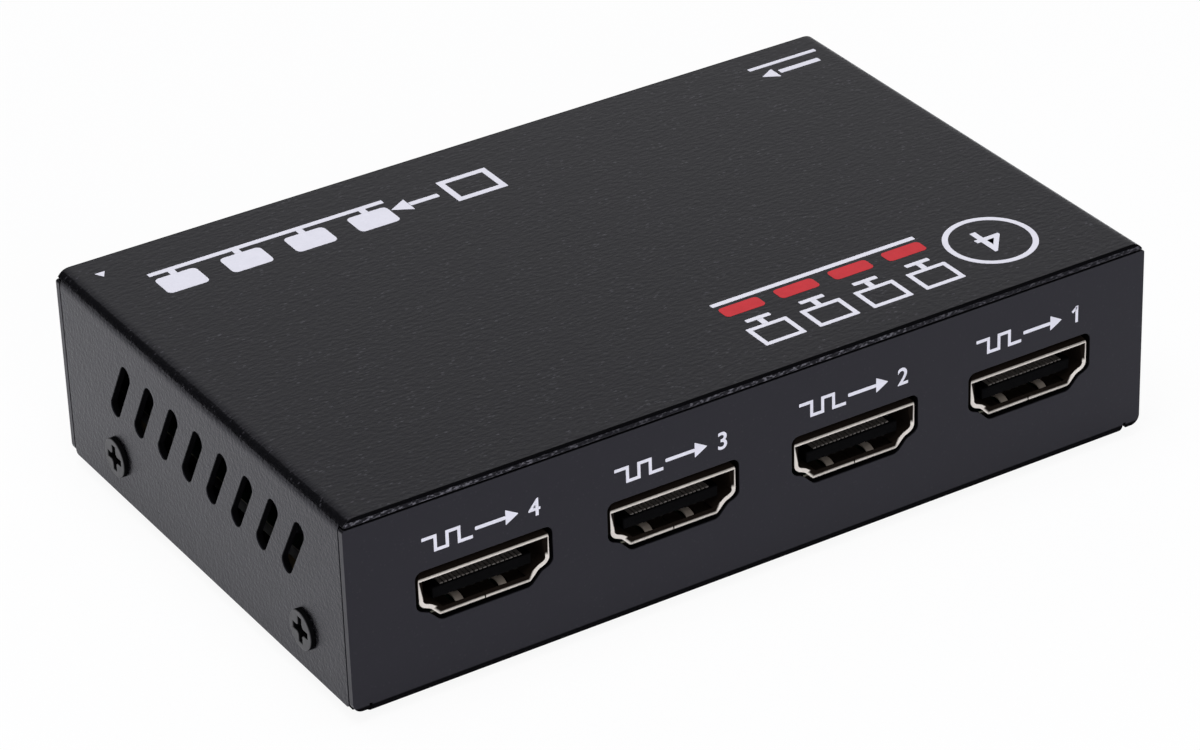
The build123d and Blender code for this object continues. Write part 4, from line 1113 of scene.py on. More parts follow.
@dataclass
class VideoSocket:
    """The socket of the outputs and the input, modelled once: mouth at y = 0 facing -Y, board at z = 0."""

    recess: float = 0.1
    half_width: float = 7.5
    height: float = 5.5
    steps: tuple[Span, ...] = ((7.5, 1.75), (6.25, 1.25), (5.05, 0.0))
    corner: float = 0.85
    length: float = 12.0
    wall: float = 0.48
    shell_edge: float = 0.06
    shell_edge_angle: float = 50.0
    spring_edge: float = 0.04
    fine_edge: float = 0.03
    cutout_gap: float = 0.38
    seam: float = 0.1
    leg_ys: Span = (3.0, 9.5)
    leg_width: float = 1.3
    leg_z: Span = (-2.4, 2.45)
    window_gap: float = 0.2
    window_reach: float = 0.6
    spring_x: float = 2.5
    spring_width: float = 1.1
    spring_window: Span = (0.8, 5.4)
    spring_tail: float = 0.4
    spring_z: Span = (0.125, 0.325)
    spring_cuts: int = 19
    spring_rise: float = 0.45
    spring_crest: float = 0.9
    spring_dip: float = 0.7
    spring_tip: float = 1.4
    spring_tip_share: float = 0.82
    block: Span = (6.4, 11.6)
    block_gap: float = 0.05
    tongue_half: float = 5.7
    tongue_z: Span = (1.85, 3.15)
    tongue_front: float = 0.5
    tongue_root: float = 0.2
    tongue_rounding: float = 0.2
    rib_width: float = 0.34
    rib_z: Span = (-0.2, 0.16)
    contact: Span = (0.4, 0.15)
    contact_counts: tuple[int, int] = (10, 9)
    contact_pitch: float = 1.0
    contact_start: float = 0.7
    contact_back: float = 12.7
    contact_foot: float = 1.1
    channel_gap: float = 0.02

    def outline(self, grow: float) -> list[Span]:
        """The right half of the mouth's outline from the top down, moved outwards.

        Args:
            grow: How far outwards, less than zero for inwards.

        Returns:
            Pairs of half width and height.
        """
        points = [(0.0, self.height), (self.half_width, self.height), *self.steps, (0.0, 0.0)]
        lines = []
        for (x1, z1), (x2, z2) in zip(points, points[1:]):
            run = Vector((x2 - x1, z2 - z1)).normalized()
            away = Vector((-run.y, run.x))
            lines.append((Vector((x1, z1)) + away * grow, run))
        corners = []
        for (start, run), (other, other_run) in zip(lines, lines[1:]):
            share = (other - start).cross(other_run) / run.cross(other_run)
            spot = start + run * share
            corners.append((spot.x, spot.y))
        return corners

    def prism(self, name: str, grow: float, y: Span) -> Object:
        """A solid bar with the mouth's outline.

        Args:
            name: The piece's name.
            grow: How far its outline is moved outwards.
            y: Where it starts and ends.

        Returns:
            The bar.
        """
        top, *levels = self.outline(grow)
        bar = add_block(name, (-top[0], top[0]), y, (levels[0][1], top[1]))
        half = top[0]
        with editing(bar):
            for (x, z), (_, above) in zip(levels[1:], levels):
                pick(bar, Part.FACES, faces_to(0, 0, -1))
                extrude(z=z - above)
                bpy.ops.transform.resize(value=(x / half, 1, 1), center_override=(0, 0, 0))
                half = x
            ways = [Vector((1, 0)), Vector((0, -1)),
                    *[Vector(b) - Vector(a) for a, b in zip(levels, levels[1:])], Vector((-1, 0))]
            for (x, z), before, after in zip([top, *levels], ways, ways[1:]):
                reach = self.corner * math.tan(abs(before.angle_signed(after)) / 2)
                pick(bar, Part.EDGES, lambda edge: all(
                    abs(abs(corner.co.x) - x) < NEAR / 2 and abs(corner.co.z - z) < NEAR / 2
                    for corner in edge.verts))
                bevel(reach, 5)
        return bar

    def spring_share(self, y: float) -> float:
        """How much of its rise a spring has, at a distance behind the mouth."""
        start, end = self.spring_window
        crest = start + self.spring_crest
        if y < crest:
            return 1 - self.spring_dip * ((crest - y) / self.spring_crest) ** 2
        return (1 + math.cos(math.pi * (y - crest) / (end - crest))) / 2 if y < end else 0.0

    def spring(self) -> Object:
        """One spring of the lower wall: it rises towards the mouth and dips again at its tip."""
        start, end = self.spring_window
        leaf = add_block("spring", centred(self.spring_width), (start, end + self.spring_tail), self.spring_z)
        with editing(leaf):
            pick(leaf, Part.EDGES, runs(1, OVERRUN))
            bpy.ops.mesh.subdivide(number_cuts=self.spring_cuts)
            cage = bmesh.from_edit_mesh(leaf.data)
            for corner in cage.verts:
                corner.co.z += self.spring_share(corner.co.y) * self.spring_rise
                if corner.co.y < start + self.spring_tip:
                    corner.co.x *= self.spring_tip_share
            bmesh.update_edit_mesh(leaf.data)
        return leaf

    def build_shell(self) -> Object:
        """The folded shell: a thin tube with windows for the springs, a seam and four legs."""
        shell = self.prism("shell", 0.0, (0, self.length))
        with editing(shell):
            pick(shell, Part.FACES, lambda face: abs(face.normal.y) > FLAT)
            bpy.ops.mesh.delete(type="ONLY_FACE")
        apply_modifier(shell, "SOLIDIFY", thickness=self.wall, offset=-1.0, use_even_offset=True)
        half, reach = self.spring_width / 2 + self.window_gap, self.window_reach
        windows = [add_block("window", (x - half, x + half), self.spring_window, (z - reach, z + reach))
                   for x in (-self.spring_x, self.spring_x) for z in (0.0, self.height)]
        cut(shell, *windows, add_block("seam", centred(self.seam), (-OVERRUN, self.length + OVERRUN),
                                       (-reach, reach)))
        fuse(shell, *[add_block("leg", between(side * self.half_width, side * (self.half_width - self.wall)),
                                (y, y + self.leg_width), self.leg_z) for side in SIDES for y in self.leg_ys])
        return moved(soften(shell, self.shell_edge, angle=self.shell_edge_angle), (0, self.recess, 0))

    def build_springs(self) -> Object:
        """The four springs, two in the lower wall and two in the upper one."""
        leaf = self.spring()
        leaves = [copied(leaf, (x, 0, z), (0, turn, 0)) for z, turn in ((0, 0), (self.height, 180))
                  for x in (-self.spring_x, self.spring_x)]
        bpy.data.meshes.remove(leaf.data)
        return moved(soften(joined("socket_springs", leaves), self.spring_edge), (0, self.recess, 0))

    def contact_rows(self) -> list[tuple[float, list[float]]]:
        """The level of each row of contacts and its contacts' places, the lower row first."""
        upper, lower = (spread(count, self.contact_pitch) for count in self.contact_counts)
        return [(self.tongue_z[0] - self.contact[1], lower), (self.tongue_z[1], upper)]

    def build_insulator(self) -> Object:
        """The moulded block and its tongue: a channel for every contact, and ribs between the upper ones."""
        body = self.prism("insulator", -self.wall - self.block_gap, self.block)
        root = self.block[0] + self.tongue_root
        tongue = add_block("tongue", (-self.tongue_half, self.tongue_half), (self.tongue_front, root),
                           self.tongue_z)
        with editing(tongue):
            pick(tongue, Part.EDGES, lies(1, high=self.tongue_front + NEAR))
            bevel(self.tongue_rounding, 2)
        half, top = self.rib_width / 2, self.tongue_z[1]
        ribs = [add_block("rib", (x - half, x + half), (self.contact_start, root),
                          (top + self.rib_z[0], top + self.rib_z[1]))
                for x in spread(self.contact_counts[0] - 1, self.contact_pitch)]
        fuse(body, tongue, *ribs)
        gap = self.channel_gap
        half, high = self.contact[0] / 2 + gap, self.contact[1] + gap
        cut(body, *[add_block("channel", (x - half, x + half), (self.contact_start - gap, self.contact_back),
                              (z - gap, z + high)) for z, places in self.contact_rows() for x in places])
        return moved(soften(body, self.fine_edge, segments=1), (0, self.recess, 0))

    def contact_strip(self, level: float) -> Object:
        """One contact: along the tongue, down behind the shell and out to its foot.

        Args:
            level: The height of its underside on the tongue.

        Returns:
            The strip, centred on x = 0.
        """
        wide, thick = self.contact
        back = self.contact_back
        strip = add_block("contact", centred(wide), (self.contact_start, back - thick / 2),
                          (level, level + thick))
        with editing(strip):
            pick(strip, Part.FACES, faces_to(0, 1, 0))
            extrude(y=thick)
            pick(strip, Part.FACES, both(faces_to(0, 0, -1), lies(1, low=back - thick)))
            extrude(z=thick - level)
            extrude(z=-thick)
            pick(strip, Part.FACES, both(faces_to(0, 1, 0), lies(2, high=thick + NEAR)))
            extrude(y=self.contact_foot - thick / 2)
        return strip

    def build_contacts(self) -> Object:
        """All nineteen contacts."""
        strips = []
        for level, places in self.contact_rows():
            strips += repeated(self.contact_strip(level), [(x, 0, 0) for x in places])
        return moved(soften(joined("contacts", strips), self.fine_edge, segments=1), (0, self.recess, 0))

    def build_all(self, places: dict[str, tuple[Point, Point]]) -> None:
        """Copies the socket to its places.

        Args:
            places: For each socket, where its frame stands and its turn.
        """
        models = {"shell": (self.build_shell(), NICKEL, "shell_nickel"),
                  "springs": (self.build_springs(), SPRING_NICKEL, "shell_nickel"),
                  "insulator": (self.build_insulator(), SOCKET_POLYMER, "socket_black"),
                  "contacts": (self.build_contacts(), GOLD_FLASH, "gold_contacts")}
        for kind, (model, finish, slot) in models.items():
            for name, (place, turn) in places.items():
                piece = copied(model, place, turn)
                piece.name = f"{name}_socket_{kind}"
                set_down(piece, finish, "" if kind == "springs" else f"{name}_{kind}")
            bpy.data.meshes.remove(model.data)


# Rear connectors

@dataclass
class RearPanel:
    """The power jack, the slide switch's knob and the indicator lamps, in frames like the sockets'."""

    back: float
    sheet: float = 0.8
    jack_x: float = 30.458
    jack_level: float = 6.0
    jack_width: float = 9.0
    jack_height: float = 10.6
    jack_y: Span = (1.0, 13.6)
    jack_bevel: float = 0.5
    jack_edge: float = 0.08
    nose_radius: float = 4.0
    nose_front: float = 0.1
    nose_root: float = 0.6
    nose_gap: float = 0.15
    bore_radius: float = 3.15
    bore_end: float = 10.6
    bore_bevel: float = 0.25
    leaf_width: float = 2.3
    leaf_y: Span = (2.225, 8.575)
    leaf_bend: float = 8.225
    leaf_over_bore: float = 0.275
    leaf_groove: float = 0.35
    leaf_slot_rise: float = 0.05
    pin_radius: float = 1.0
    pin_start: float = 1.3
    pin_rounding: float = 0.5
    pin_slit: float = 0.3
    pin_slit_end: float = 5.5
    pin_gap: float = 0.02
    blade_width: float = 2.4
    blade_thick: float = 0.4
    blade_z: Span = (-2.4, 7.0)
    switch_x: float = 18.0032
    switch_middle: float = 2.1
    switch_slot: Span = (4.6, 2.4)
    slider_width: float = 4.4
    slider_y: Span = (1.35, 2.75)
    slider_z: Span = (0.4, 3.8)
    slider_rest: float = 1.0
    knob: Point = (2.0, 1.6, 1.8)
    knob_root: float = 0.2
    knob_rounding: float = 0.2
    groove_width: float = 0.25
    groove_depth: float = 0.15
    groove_pitch: float = 0.5
    small_edge: float = 0.05
    lamp_row: float = -23.5031
    lamp_pitch: float = 4.9955
    lamp_count: int = 5
    lamp_radius: float = 1.5
    lamp_flange: float = 1.9
    lamp_reach: float = 0.6
    lamp_length: float = 4.6
    lamp_flange_length: float = 0.8
    lamp_level: float = 5.2
    lamp_gap: float = 0.1
    lamp_edge: float = 0.04
    hole_reach: Span = (-3.0, 3.0)

    def lamp_places(self) -> list[float]:
        """Where the lamps stand along X, the power lamp first."""
        return [self.lamp_row + step for step in spread(self.lamp_count, self.lamp_pitch)]

    def lamp_spots(self) -> list[Point]:
        """Where the lamps' frames stand behind the rear panel, the power lamp's first."""
        return [(x, self.back, BOARD_TOP + self.lamp_level) for x in self.lamp_places()]

    def stood(self, piece: Object, x: float, level: float = 0.0) -> Object:
        """Lifts a piece to its level, turns it round and stands it behind the rear panel.

        Args:
            piece: The piece, modelled facing -Y.
            x: Its place along X.
            level: How far it is lifted first.

        Returns:
            The same piece.
        """
        return moved(piece, (x, self.back, BOARD_TOP + level), HALF_TURN)

    def build_jack(self) -> None:
        """The jack's housing with its round nose and bore."""
        front, back = self.jack_y
        level = (0, 0, self.jack_level)
        body = add_block("jack_housing", centred(self.jack_width), self.jack_y, (0, self.jack_height))
        with editing(body):
            pick(body, Part.EDGES, both(runs(1, OVERRUN), lies(2, low=self.jack_height - NEAR)))
            bevel(self.jack_bevel, 4)
        nose_span = (self.nose_front, self.sheet + self.nose_root)
        fuse(body, moved(add_rod("nose", self.nose_radius, nose_span, Axis.Y, sides=96), level))
        cut(body, moved(add_rod("bore", self.bore_radius, (-OVERRUN, self.bore_end), Axis.Y, sides=64), level))
        with editing(body):
            pick(body, Part.EDGES, lambda edge: all(
                corner.co.y < self.nose_front + NEAR
                and abs(math.hypot(corner.co.x, corner.co.z - self.jack_level) - self.bore_radius) < 2 * NEAR
                for corner in edge.verts))
            bevel(self.bore_bevel, 3)
        hole = add_rod("pin_hole", self.pin_radius + self.pin_gap, (self.pin_slit_end, back + OVERRUN), Axis.Y)
        cut(body, moved(hole, level))
        low = self.jack_level - self.bore_radius + self.leaf_over_bore
        cut(body,
            add_block("leaf_groove", centred(self.leaf_width), self.leaf_y, (low, low + self.leaf_groove)),
            add_block("leaf_slot", centred(self.leaf_width), (self.leaf_bend, self.leaf_y[1]),
                      (-OVERRUN, low + self.leaf_slot_rise)))
        set_down(self.stood(soften(body, self.jack_edge), self.jack_x), MOULDED_BLACK,
                 "power_jack_housing")

    def build_pin(self) -> None:
        """The jack's forked centre pin, with its blade behind the housing."""
        end = self.jack_y[1] + self.blade_thick
        pin = add_rod("jack_centre_pin", self.pin_radius, (self.pin_start, end), Axis.Y)
        with editing(pin):
            pick(pin, Part.EDGES, lies(1, high=self.pin_start + NEAR))
            bevel(self.pin_rounding, 5)
        cut(pin, add_block("pin_slit", centred(self.pin_slit), (0, self.pin_slit_end),
                           centred(3 * self.pin_radius)))
        moved(pin, (0, 0, self.jack_level))
        fuse(pin, add_block("blade", centred(self.blade_width), (self.jack_y[1], end), self.blade_z))
        set_down(self.stood(soften(pin, self.small_edge), self.jack_x), TIN,
                 "power_jack_pin")

    def build_slider(self) -> None:
        """The switch's slider with its grooved knob, at the end of its travel where it rests."""
        wide, reach, high = self.knob
        body = add_block("switch_knob", centred(self.slider_width), self.slider_y, self.slider_z)
        knob = add_block("knob", centred(wide), (-reach, self.slider_y[1] - self.knob_root), centred(high))
        with editing(knob):
            pick(knob, Part.FACES, faces_to(0, -1, 0))
            bevel(self.knob_rounding, 3)
        half = self.groove_width / 2
        cut(knob, *[add_block("groove", (x - half, x + half), (-reach - OVERRUN, self.groove_depth - reach),
                              centred(2 * high)) for x in spread(3, self.groove_pitch)])
        fuse(body, moved(knob, (0, 0, self.switch_middle)))
        slider = moved(soften(body, self.small_edge), (self.slider_rest, 0, 0))
        set_down(self.stood(slider, self.switch_x), MOULDED_BLACK, "switch_slider", SLIDE_BODY)

    def build_lamps(self) -> None:
        """Five round lamps, domed at the front and flanged at the back."""
        lamp = add_rod("lamp", self.lamp_radius,
                       (-self.lamp_reach, self.lamp_length - self.lamp_flange_length), Axis.Y)
        wider = self.lamp_flange / self.lamp_radius
        with editing(lamp):
            pick(lamp, Part.EDGES, lies(1, high=NEAR - self.lamp_reach))
            bevel(self.lamp_radius - 2 * NEAR, 12)
            pick(lamp, Part.FACES, faces_to(0, 1, 0))
            extrude()
            bpy.ops.transform.resize(value=(wider, 1, wider))
            extrude(y=self.lamp_flange_length)
        lamps = repeated(lamp, self.lamp_spots(), HALF_TURN)
        for name, some, finish, slot, node in (
                ("power_indicator", lamps[:1], RED_EPOXY, "lamp_red", "power_lamp"),
                ("output_indicators", lamps[1:], GREEN_EPOXY, "lamp_green", "output_lamps")):
            set_down(soften(joined(name, some), self.lamp_edge), finish, node)

    def panel_tools(self) -> list[Object]:
        """The rear panel's holes for these connectors."""
        jack = add_rod("jack_hole", self.nose_radius + self.nose_gap, self.hole_reach, Axis.Y, sides=96)
        width, height = self.switch_slot
        slot = add_block("switch_slot", centred(width), self.hole_reach, centred(height))
        lamp = add_rod("lamp_hole", self.lamp_radius + self.lamp_gap, self.hole_reach, Axis.Y)
        return [self.stood(jack, self.jack_x, self.jack_level),
                self.stood(slot, self.switch_x, self.switch_middle),
                *repeated(lamp, self.lamp_spots(), HALF_TURN)]


# Printed marks

@dataclass
class Print:
    """One printed mark: flat shapes of ink, drawn about their middle and laid on a face of the case.

    In its drawing u runs to the right and v upwards.
    """

    name: str
    finish: Finish
    slot: str
    place: Point
    turn: Point
    ink: Span = (-0.03, 0.02)
    square: float = 0.03
    tight: float = 0.02
    rounding_share: float = 0.45
    head_rounding: float = 0.08
    swell: float = 0.04
    capital_share: float = 0.7
    stem_shift: float = 0.1
    stem_width: float = 0.34
    flag_shift: float = -0.2
    flag_height_share: float = 0.8
    flag_size: Span = (0.3, 0.75)
    flag_turn: float = -50.0
    wave_levels: int = 4
    wave_step: float = 1.35
    wave_line: float = 0.36
    shaft_width: float = 0.4
    head_size: float = 1.0
    shapes: list[Object] = field(default_factory=list)

    def add(self, shape: Object, u: float, v: float, angle: float = 0.0) -> None:
        """Adds a shape at its place and turn."""
        self.shapes.append(moved(shape, (u, v, 0), (0, 0, angle)))

    def bar(self, u: float, v: float, length: float, width: float, angle: float = 0.0,
            rounding: float = 0.12) -> None:
        """A straight bar with rounded corners.

        Args:
            u: Its middle along u.
            v: Its middle along v.
            length: Its length.
            width: Its width.
            angle: Its turn in degrees.
            rounding: Its corners' radius.
        """
        shape = add_block("bar", centred(length), centred(width), self.ink)
        with editing(shape):
            pick(shape, Part.EDGES, runs(2, NEAR))
            bevel(min(rounding, width * self.rounding_share), 4)
        self.add(shape, u, v, angle)

    def frame(self, u: float, v: float, wide: float, high: float, line: float) -> None:
        """An upright frame of four bars.

        Args:
            u: Its middle along u.
            v: Its middle along v.
            wide: Its outer width.
            high: Its outer height.
            line: Its line width.
        """
        for side in SIDES:
            self.bar(u, v + side * (high - line) / 2, wide, line)
            self.bar(u + side * (wide - line) / 2, v, line, high - 2 * line, rounding=self.tight)

    def ring(self, u: float, v: float, outer: float, inner: float = 0.0) -> None:
        """A ring, or a disc where it has no inner radius."""
        shape = add_rod("ring", outer, self.ink, sides=64)
        if inner:
            cut(shape, add_rod("ring_hole", inner, (-OVERRUN, OVERRUN), sides=64))
        self.add(shape, u, v)

    def arrow_head(self, u: float, v: float, size: float, angle: float = 0.0) -> None:
        """A three-cornered head whose tip points right before it is turned."""
        shape = add_rod("head", size, self.ink, sides=3)
        with editing(shape):
            pick(shape, Part.EDGES, runs(2, NEAR))
            bevel(self.head_rounding, 2)
        self.add(shape, u, v, angle - 90)

    def words(self, u: float, v: float, text: str, height: float) -> None:
        """Plain figures or letters, centred.

        Args:
            u: Their middle along u.
            v: Their foot.
            text: What is written.
            height: The capitals' height.
        """
        bpy.ops.object.select_all(action="DESELECT")
        bpy.ops.object.text_add()
        writing = bpy.context.object
        writing.data.body = text
        writing.data.size = height / self.capital_share
        writing.data.align_x = "CENTER"
        writing.data.extrude = (self.ink[1] - self.ink[0]) / 2
        writing.data.offset = self.swell
        bpy.ops.object.convert(target="MESH")
        self.shapes.append(moved(bpy.context.object, (u, v, sum(self.ink) / 2)))

    def figure(self, u: float, number: int, height: float) -> None:
        """A plain figure, centred, its foot at zero; a one is drawn from bars, to get its flag.

        Args:
            u: Its middle along u.
            number: The figure, of one digit.
            height: Its height.
        """
        if number == 1:
            self.bar(u + self.stem_shift, height / 2, self.stem_width, height, rounding=self.square)
            self.bar(u + self.flag_shift, height * self.flag_height_share, *self.flag_size, self.flag_turn,
                     self.square)
        else:
            self.words(u, 0, str(number), height)

    def signal(self, start: float, shaft: Span, head: float, high: float) -> None:
        """A square wave, its foot at zero, and an arrow after it.

        Args:
            start: Where the wave starts.
            shaft: Where the arrow's shaft starts and ends.
            head: The middle of the arrow's head.
            high: The wave's height.
        """
        step, line = self.wave_step, self.wave_line
        for index in range(self.wave_levels):
            level = high - line / 2 if index % 2 == 0 else line / 2
            self.bar(start + (index + 0.5) * step, level, step + line, line, rounding=self.square)
            if index:
                self.bar(start + index * step, high / 2, line, high - 2 * line, rounding=self.tight)
        self.bar(sum(shaft) / 2, high / 2, shaft[1] - shaft[0], self.shaft_width)
        self.arrow_head(head, high / 2, self.head_size)

    def lay(self) -> None:
        """Lays the drawn shapes on the case as one piece."""
        piece = joined(self.name, self.shapes)
        tidy(piece)
        activate(piece)
        bpy.ops.object.shade_smooth_by_angle(angle=math.radians(SMOOTH_ANGLE))
        set_down(moved(piece, self.place, self.turn), self.finish)


@dataclass
class Markings:
    """Every printed mark of the case: plain figures and drawings in white and red ink.

    The numbers of the drawings are millimetres on the print: a middle, then a size.
    """

    case: Case
    figure: float = 1.95
    label_foot: float = 16.75
    output_signal: float = -6.65
    output_shaft: Span = (-0.8, 2.7)
    output_head: float = 3.2
    output_figure: float = 6.05
    input_signal: float = -4.85
    input_shaft: Span = (1.7, 4.3)
    input_head: float = 4.9
    screens: tuple[float, ...] = (-4.9, 2.8, 10.5, 18.2)
    tabs: tuple[float, ...] = (-10.2, -3.4, 3.4, 10.2)
    open_screens: tuple[float, ...] = (-10.0, -3.35, 3.35, 10.0)
    switch_word: float = 2.6
    switch_level: float = 13.4
    polarity_level: float = 4.8

    def on_top(self, name: str, x: Span, y: Span, finish: Finish = WHITE_INK) -> Print:
        """A print on the top that reads from behind.

        Args:
            name: Its name.
            x: The span that it fills along X.
            y: The span that it fills along Y, in the part's frame.
            finish: Its ink.

        Returns:
            The empty print.
        """
        place = (sum(x) / 2, sum(y) / 2 - FRAME_SHIFT_Y, self.case.top)
        return Print(name, finish, "cover_steel", place, HALF_TURN)

    def on_panel(self, name: str, side: int, x: float, z: float) -> Print:
        """A white print on a panel.

        Args:
            name: Its name.
            side: -1 for the front panel, 1 for the rear one.
            x: Its middle.
            z: Its foot.

        Returns:
            The empty print.
        """
        turn = (90, 0, 180 if side > 0 else 0)
        return Print(name, WHITE_INK, "tray_steel", (x, side * self.case.back, z), turn)

    def build_source(self) -> None:
        """The drawing of one source that feeds four screens, its pointer and a corner mark."""
        drawing = self.on_top("print_source_and_screens", (-41.0, 0.5), (18.2, 23.3))
        drawing.frame(-17.6, 0, 6.2, 5.1, 0.75)
        drawing.bar(-11.6, 0, 3.6, 0.75)
        drawing.arrow_head(-9.0, 0, 1.5)
        drawing.bar(6.5, -2.2, 28.4, 0.7)
        for u in self.screens:
            drawing.bar(u, 0.75, 4.9, 3.6, rounding=0.6)
            drawing.bar(u, -1.45, 0.8, 0.78, rounding=drawing.tight)
        drawing.lay()
        pointer = self.on_top("print_source_pointer", (36.9, 46.0), (22.7, 26.3))
        pointer.bar(0, -1.5, 9.1, 0.6)
        pointer.bar(-0.9, 0.7, 5.4, 0.8)
        pointer.arrow_head(2.9, 0.7, 1.25)
        pointer.lay()
        mark = self.on_top("print_corner_mark", (-45.4, -44.2), (25.6, 26.8))
        mark.arrow_head(0, 0, 0.7, 90)
        mark.lay()

    def build_screens(self) -> None:
        """The ringed four, and the four screens under their red tabs."""
        badge = self.on_top("print_ringed_four", (30.4, 40.5), (-27.1, -16.4))
        badge.ring(0, 0, 5.1, 4.45)
        badge.words(0, -2.3, "4", 4.6)
        badge.lay()
        tabs = self.on_top("print_red_tabs", (3.6, 29.2), (-19.5, -16.3), RED_INK)
        for u in self.tabs:
            tabs.bar(u, 0.6, 4.9, 2.0, rounding=0.5)
        tabs.lay()
        line = self.on_top("print_tab_line", (3.6, 29.2), (-19.5, -16.3))
        line.bar(0, -1.25, 25.6, 0.65)
        line.lay()
        screens = self.on_top("print_four_screens", (3.8, 28.8), (-26.8, -20.6))
        for u in self.open_screens:
            screens.frame(u, 0.95, 5.0, 3.9, 0.55)
            screens.bar(u, -1.55, 0.7, 1.05, rounding=screens.tight)
            screens.bar(u, -2.4, 3.0, 0.6)
        screens.lay()

    def build_front(self, outputs: Sequence[float]) -> None:
        """A pulse, an arrow and a number over each output.

        Args:
            outputs: The outputs' places, from the last to the first.
        """
        for number, x in zip(range(len(outputs), 0, -1), outputs):
            label = self.on_panel(f"print_output_{number}", -1, x - 0.1, self.label_foot)
            label.signal(self.output_signal, self.output_shaft, self.output_head, self.figure)
            label.figure(self.output_figure, number, self.figure)
            label.lay()

    def build_rear(self, rear: RearPanel, input_x: float) -> None:
        """The marks over the input and the lamps, beside the switch and under the jack.

        Args:
            rear: The rear panel's connectors.
            input_x: The input's place.
        """
        feed = self.on_panel("print_input", 1, input_x, self.label_foot)
        feed.signal(self.input_signal, self.input_shaft, self.input_head, self.figure)
        feed.lay()
        for index, x in enumerate(rear.lamp_places()):
            over = self.on_panel(f"print_lamp_{index}", 1, x, self.label_foot)
            if index:
                over.figure(0, index, self.figure)
            else:
                over.ring(0, self.figure / 2, 0.95, 0.7)
                over.bar(0, self.figure * 0.75, 0.28, 1.1, rounding=over.square)
            over.lay()
        for text, side in (("ON", 1), ("OFF", -1)):
            x = rear.switch_x + side * self.switch_word
            state = self.on_panel(f"print_switch_{text.lower()}", 1, x, self.switch_level)
            state.words(0, 0, text, 1.3)
            state.lay()
        polarity = self.on_panel("print_jack_polarity", 1, rear.jack_x, self.polarity_level)
        polarity.ring(0, 0, 0.35)
        polarity.ring(0, 0, 1.15, 0.9)
        for u, v, length, width in ((-2.1, 0, 1.6, 0.24), (2.1, 0, 1.6, 0.24), (-3.9, 0, 1.2, 0.26),
                                    (3.9, 0, 1.2, 0.26), (3.9, 0.5, 0.26, 0.45), (3.9, -0.5, 0.26, 0.45)):
            polarity.bar(u, v, length, width, rounding=polarity.square)
        polarity.lay()


# Pieces that keep their CAD shape

CARRIED_OVER = {
    BRASS: ["board_standoffs"],
    ZINC: ["board_screws"],
    BOARD_MASK: ["main_board"],
    CHIP_EPOXY: ["splitter_chip", "control_chip", "memory_chips", "voltage_regulator", "surge_guards"],
    TIN: ["splitter_chip_leads", "control_chip_leads", "memory_chip_leads", "regulator_leads",
          "power_jack_contacts", "switch_wiper", "switch_terminals", "lamp_leads"],
    SILICONE: ["thermal_pad"],
    EXTRUDED: ["heat_sink"],
    FERRITE: ["power_inductor"],
    CAN_ALUMINIUM: ["capacitor_cans"],
    MOULDED_BLACK: ["capacitor_bases", "switch_base"],
    CRYSTAL_CAN: ["crystal", "switch_frame"],
    FUSE_LAMINATE: ["input_fuse"],
    CERAMIC: ["ceramic_capacitors"],
    GLAZE: ["chip_resistors"],
}


def dress_carried_over(nodes: dict[str, Object]) -> None:
    """Gives every CAD node that stays its finish.

    Args:
        nodes: The frame's nodes by name.
    """
    for finish, names in CARRIED_OVER.items():
        for name in names:
            slots = nodes[name].data.materials
            slots.clear()
            slots.append(finish.material())
            log.info("%-22s keeps its shape, finished as %s", name, finish.name)


# Studio

@dataclass(frozen=True)
class LightPanel:
    """A square or oblong soft light that hangs at a place and looks at the part."""

    name: str
    place: Point
    width: float
    height: float
    watts: float

    def hang(self, target: Point) -> None:
        """Adds the light, turned to its target."""
        bpy.ops.object.light_add(type="AREA")
        lamp = bpy.context.object
        lamp.name = self.name
        lamp.data.shape = "RECTANGLE"
        lamp.data.size, lamp.data.size_y = self.width * MM, self.height * MM
        lamp.data.energy = self.watts
        lamp.location = Vector(self.place) * MM
        lamp.rotation_mode = "QUATERNION"
        lamp.rotation_quaternion = (Vector(target) - Vector(self.place)).to_track_quat("-Z", "Y")


